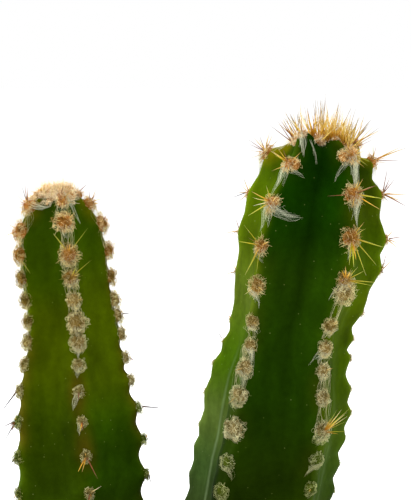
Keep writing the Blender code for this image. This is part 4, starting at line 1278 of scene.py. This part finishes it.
def buildSoil(material):
    look = soilLook
    wall, drop, floor = (look[name] * mm for name in ("wallRadius", "edgeDrop", "floorHeight"))
    top = np.linspace(0.2 * mm, wall, look["rings"])
    edge = soilLevel - drop * (top / wall) ** 8
    walls = np.linspace((wall, soilLevel - drop - 1.5 * mm), (look["floorRadius"] * mm, floor), 12)
    profile = np.concatenate([np.stack([top, edge], axis=-1), walls, [(0.2 * mm, floor)]])

    def relieved(points):
        z = points[..., 2]
        points[..., 2] = z + np.where(z > soilLevel - 1.4 * mm, soilRelief(points), 0)
        return points

    def tintFor(points):
        share = np.clip(0.45 + noiseAt(points, 340, 5.0) + 0.6 * noiseAt(points, 1200, 8.0), 0, 1)
        return blend(paint(look["dark"]), paint(look["light"]), share[..., None])

    bin = newBin()
    addLathe(bin, profile, look["steps"], tintFor, relieved)
    pieceFromBin("pottingMix", bin, material, replaced="soil")


def buildCrumbs(material):
    look = soilLook
    draw = np.random.default_rng(5)
    ball, faces = unitBall(1)
    bin = newBin()
    between = np.arange(ribCount) + 0.5
    feet = [skinPoint(stem, stem["length"] * 0.8, between).mean(axis=0) for stem in stems.values()]
    names = list(look["kinds"])
    shares = np.array([look["kinds"][name][0] for name in names])
    placed = 0
    while placed < look["crumbs"]:
        out = (look["wallRadius"] - 1.2) * mm * math.sqrt(draw.random())
        around = draw.uniform(0, 2 * math.pi)
        spot = np.array([out * math.cos(around), out * math.sin(around), soilLevel])
        if any(np.hypot(*(spot - foot)[:2]) < look["clearOfStems"] * mm for foot in feet):
            continue
        placed += 1
        share, sizes, (flat, long), dark, light = look["kinds"][names[draw.choice(len(names), p=shares)]]
        size = draw.uniform(*sizes) * mm / 2
        spin = np.array(Matrix.Rotation(draw.uniform(0, 2 * math.pi), 3, "Z"))
        tip = np.array(Matrix.Rotation(draw.normal() * 0.35, 3, "X"))
        rough = 1 + 0.55 * noiseAt(ball, 1.7, placed * 2.3)[:, None]
        shape = (ball * rough * np.array([long, 1.0, flat]) * size) @ (spin @ tip).T
        height = float(soilRelief(spot[None])[0]) + size * flat * 0.45
        tint = blend(paint(dark), paint(light), draw.random())
        speckled = tint * (1 + 0.4 * noiseAt(ball, 3.0, placed)[:, None])
        addToBin(bin, shape + spot + np.array([0, 0, height]), faces, speckled)
    pieceFromBin("crumbs", bin, material)


def pottingMix():
    material = newMaterial("pottingMix", specular=0.12, roughness=0.95)
    setColour(material, tinted(material, 0.72, 1.25, 1600, 5, 0.7))
    setBump(material, cloud(material, 1300, 5, 0.7), 0.8, 0.0006)
    return material


darkMix = pottingMix()
buildSoil(darkMix)
buildCrumbs(darkMix)


# floor, light and camera

studio = {
    "floorSize": 8.0,  # metres, as all lengths here
    "floorNear": 0.62,  # its grey round the pot, darker there as painted shade, and further out
    "floorFar": 0.93,
    "floorGlow": ((0.05, 0.0), (0.17, 0.62)),  # how far from the pot's middle, and how bright the floor's painted glow is
    "worldFront": 0.22,
    "worldBack": 0.85,
    # name, place, size, watts and where it points
    "lights": (
        ("topSoftbox", (0.0, 0.10, 0.75), (0.9, 0.9), 7.0, (0.0, 0.0, 0.05)),
        ("leftSoftbox", (-0.55, 0.20, 0.26), (0.35, 0.5), 4.6, (0.0, 0.0, 0.13)),
        ("rightSoftbox", (0.60, 0.16, 0.26), (0.35, 0.5), 1.6, (0.0, 0.0, 0.13)),
        ("frontSoftbox", (-0.20, -0.62, 0.50), (0.35, 0.35), 1.5, (0.0, 0.0, 0.13)),
    ),
}
cameraPlan = {"target": (0.008, 0.0, 0.145), "distance": 0.3, "elevation": 8.0, "lens": 120.0}


def ranged(nodes, *values):  # a node that carries one range over to another
    made = nodes.new("ShaderNodeMapRange")
    for name, value in zip(("From Min", "From Max", "To Min", "To Max"), values):
        made.inputs[name].default_value = value
    return made


def buildFloor():
    shape = bmesh.new()
    bmesh.ops.create_grid(shape, x_segments=1, y_segments=1, size=studio["floorSize"] / 2)
    mesh = bpy.data.meshes.new("floor")
    shape.to_mesh(mesh)
    shape.free()
    floor = bpy.data.objects.new("floor", mesh)
    bpy.context.scene.collection.objects.link(floor)
    material = newMaterial("paleFloor", specular=0.1, roughness=0.9)
    shaderOf(material).inputs["Emission Color"].default_value = (1, 1, 1, 1)
    nodes = material.node_tree.nodes
    where, reach = nodes.new("ShaderNodeTexCoord"), nodes.new("ShaderNodeVectorMath")
    reach.operation = "LENGTH"
    link(material, where.outputs["Object"], reach.inputs[0])
    # the floor glows with painted light away from the pot and not near it, where its darker grey is painted
    # shade
    near, far = studio["floorGlow"]
    glow = ranged(nodes, near[0], far[0], near[1], far[1])
    link(material, reach.outputs["Value"], glow.inputs["Value"])
    link(material, glow.outputs["Result"], shaderOf(material).inputs["Emission Strength"])
    greys = [(near[1], studio["floorNear"]), (far[1], studio["floorFar"])]
    pale = ramp(material, glow.outputs["Result"], greys)
    faint = ramp(material, cloud(material, 30), [(0.3, 0.0), (0.7, 0.02)])
    setColour(material, mixed(material, faint, pale, paint((255, 255, 255))))
    mesh.materials.append(material)


def buildWorld():  # plain white to the eye, but it lights the plant more from behind than from the front
    world = bpy.data.worlds.new("softWhite")
    bpy.context.scene.world = world
    world.use_nodes = True
    nodes, links = world.node_tree.nodes, world.node_tree.links
    lit = nodes["Background"]
    lit.inputs["Color"].default_value = (1, 1, 1, 1)
    seen = nodes.new("ShaderNodeBackground")
    seen.inputs["Color"].default_value = (1, 1, 1, 1)
    toward = nodes.new("ShaderNodeTexCoord")
    split = nodes.new("ShaderNodeSeparateXYZ")
    spread = ranged(nodes, -0.6, 0.6, studio["worldFront"], studio["worldBack"])
    ray = nodes.new("ShaderNodeLightPath")
    either = nodes.new("ShaderNodeMixShader")
    links.new(toward.outputs["Generated"], split.inputs["Vector"])
    links.new(split.outputs["Y"], spread.inputs["Value"])
    links.new(spread.outputs["Result"], lit.inputs["Strength"])
    links.new(ray.outputs["Is Camera Ray"], either.inputs["Fac"])
    links.new(lit.outputs["Background"], either.inputs[1])
    links.new(seen.outputs["Background"], either.inputs[2])
    links.new(either.outputs["Shader"], nodes["World Output"].inputs["Surface"])


def aimed(obj, place, target):
    obj.location = place
    obj.rotation_euler = (Vector(target) - Vector(place)).to_track_quat("-Z", "Y").to_euler()
    bpy.context.scene.collection.objects.link(obj)


def buildLights():
    for name, place, size, watts, target in studio["lights"]:
        light = bpy.data.lights.new(name, "AREA")
        light.shape = "RECTANGLE"
        light.size, light.size_y = size
        light.energy = watts
        lamp = bpy.data.objects.new(name, light)
        aimed(lamp, place, target)
        lamp.visible_camera = False


def buildCamera():
    data = bpy.data.cameras.new("camera")
    data.lens = cameraPlan["lens"]
    data.sensor_fit = "VERTICAL"
    data.sensor_height = 36.0
    data.clip_start = 0.01
    camera = bpy.data.objects.new("camera", data)
    tilt = math.radians(cameraPlan["elevation"])
    target = Vector(cameraPlan["target"])
    aimed(camera, target + Vector((0, -math.cos(tilt), math.sin(tilt))) * cameraPlan["distance"], target)
    bpy.context.scene.camera = camera


buildFloor()
buildWorld()
buildLights()
buildCamera()
bpy.context.scene.view_settings.view_transform = "Standard"
bpy.context.scene.view_settings.look = "None"
print("floor, lights and camera ready")
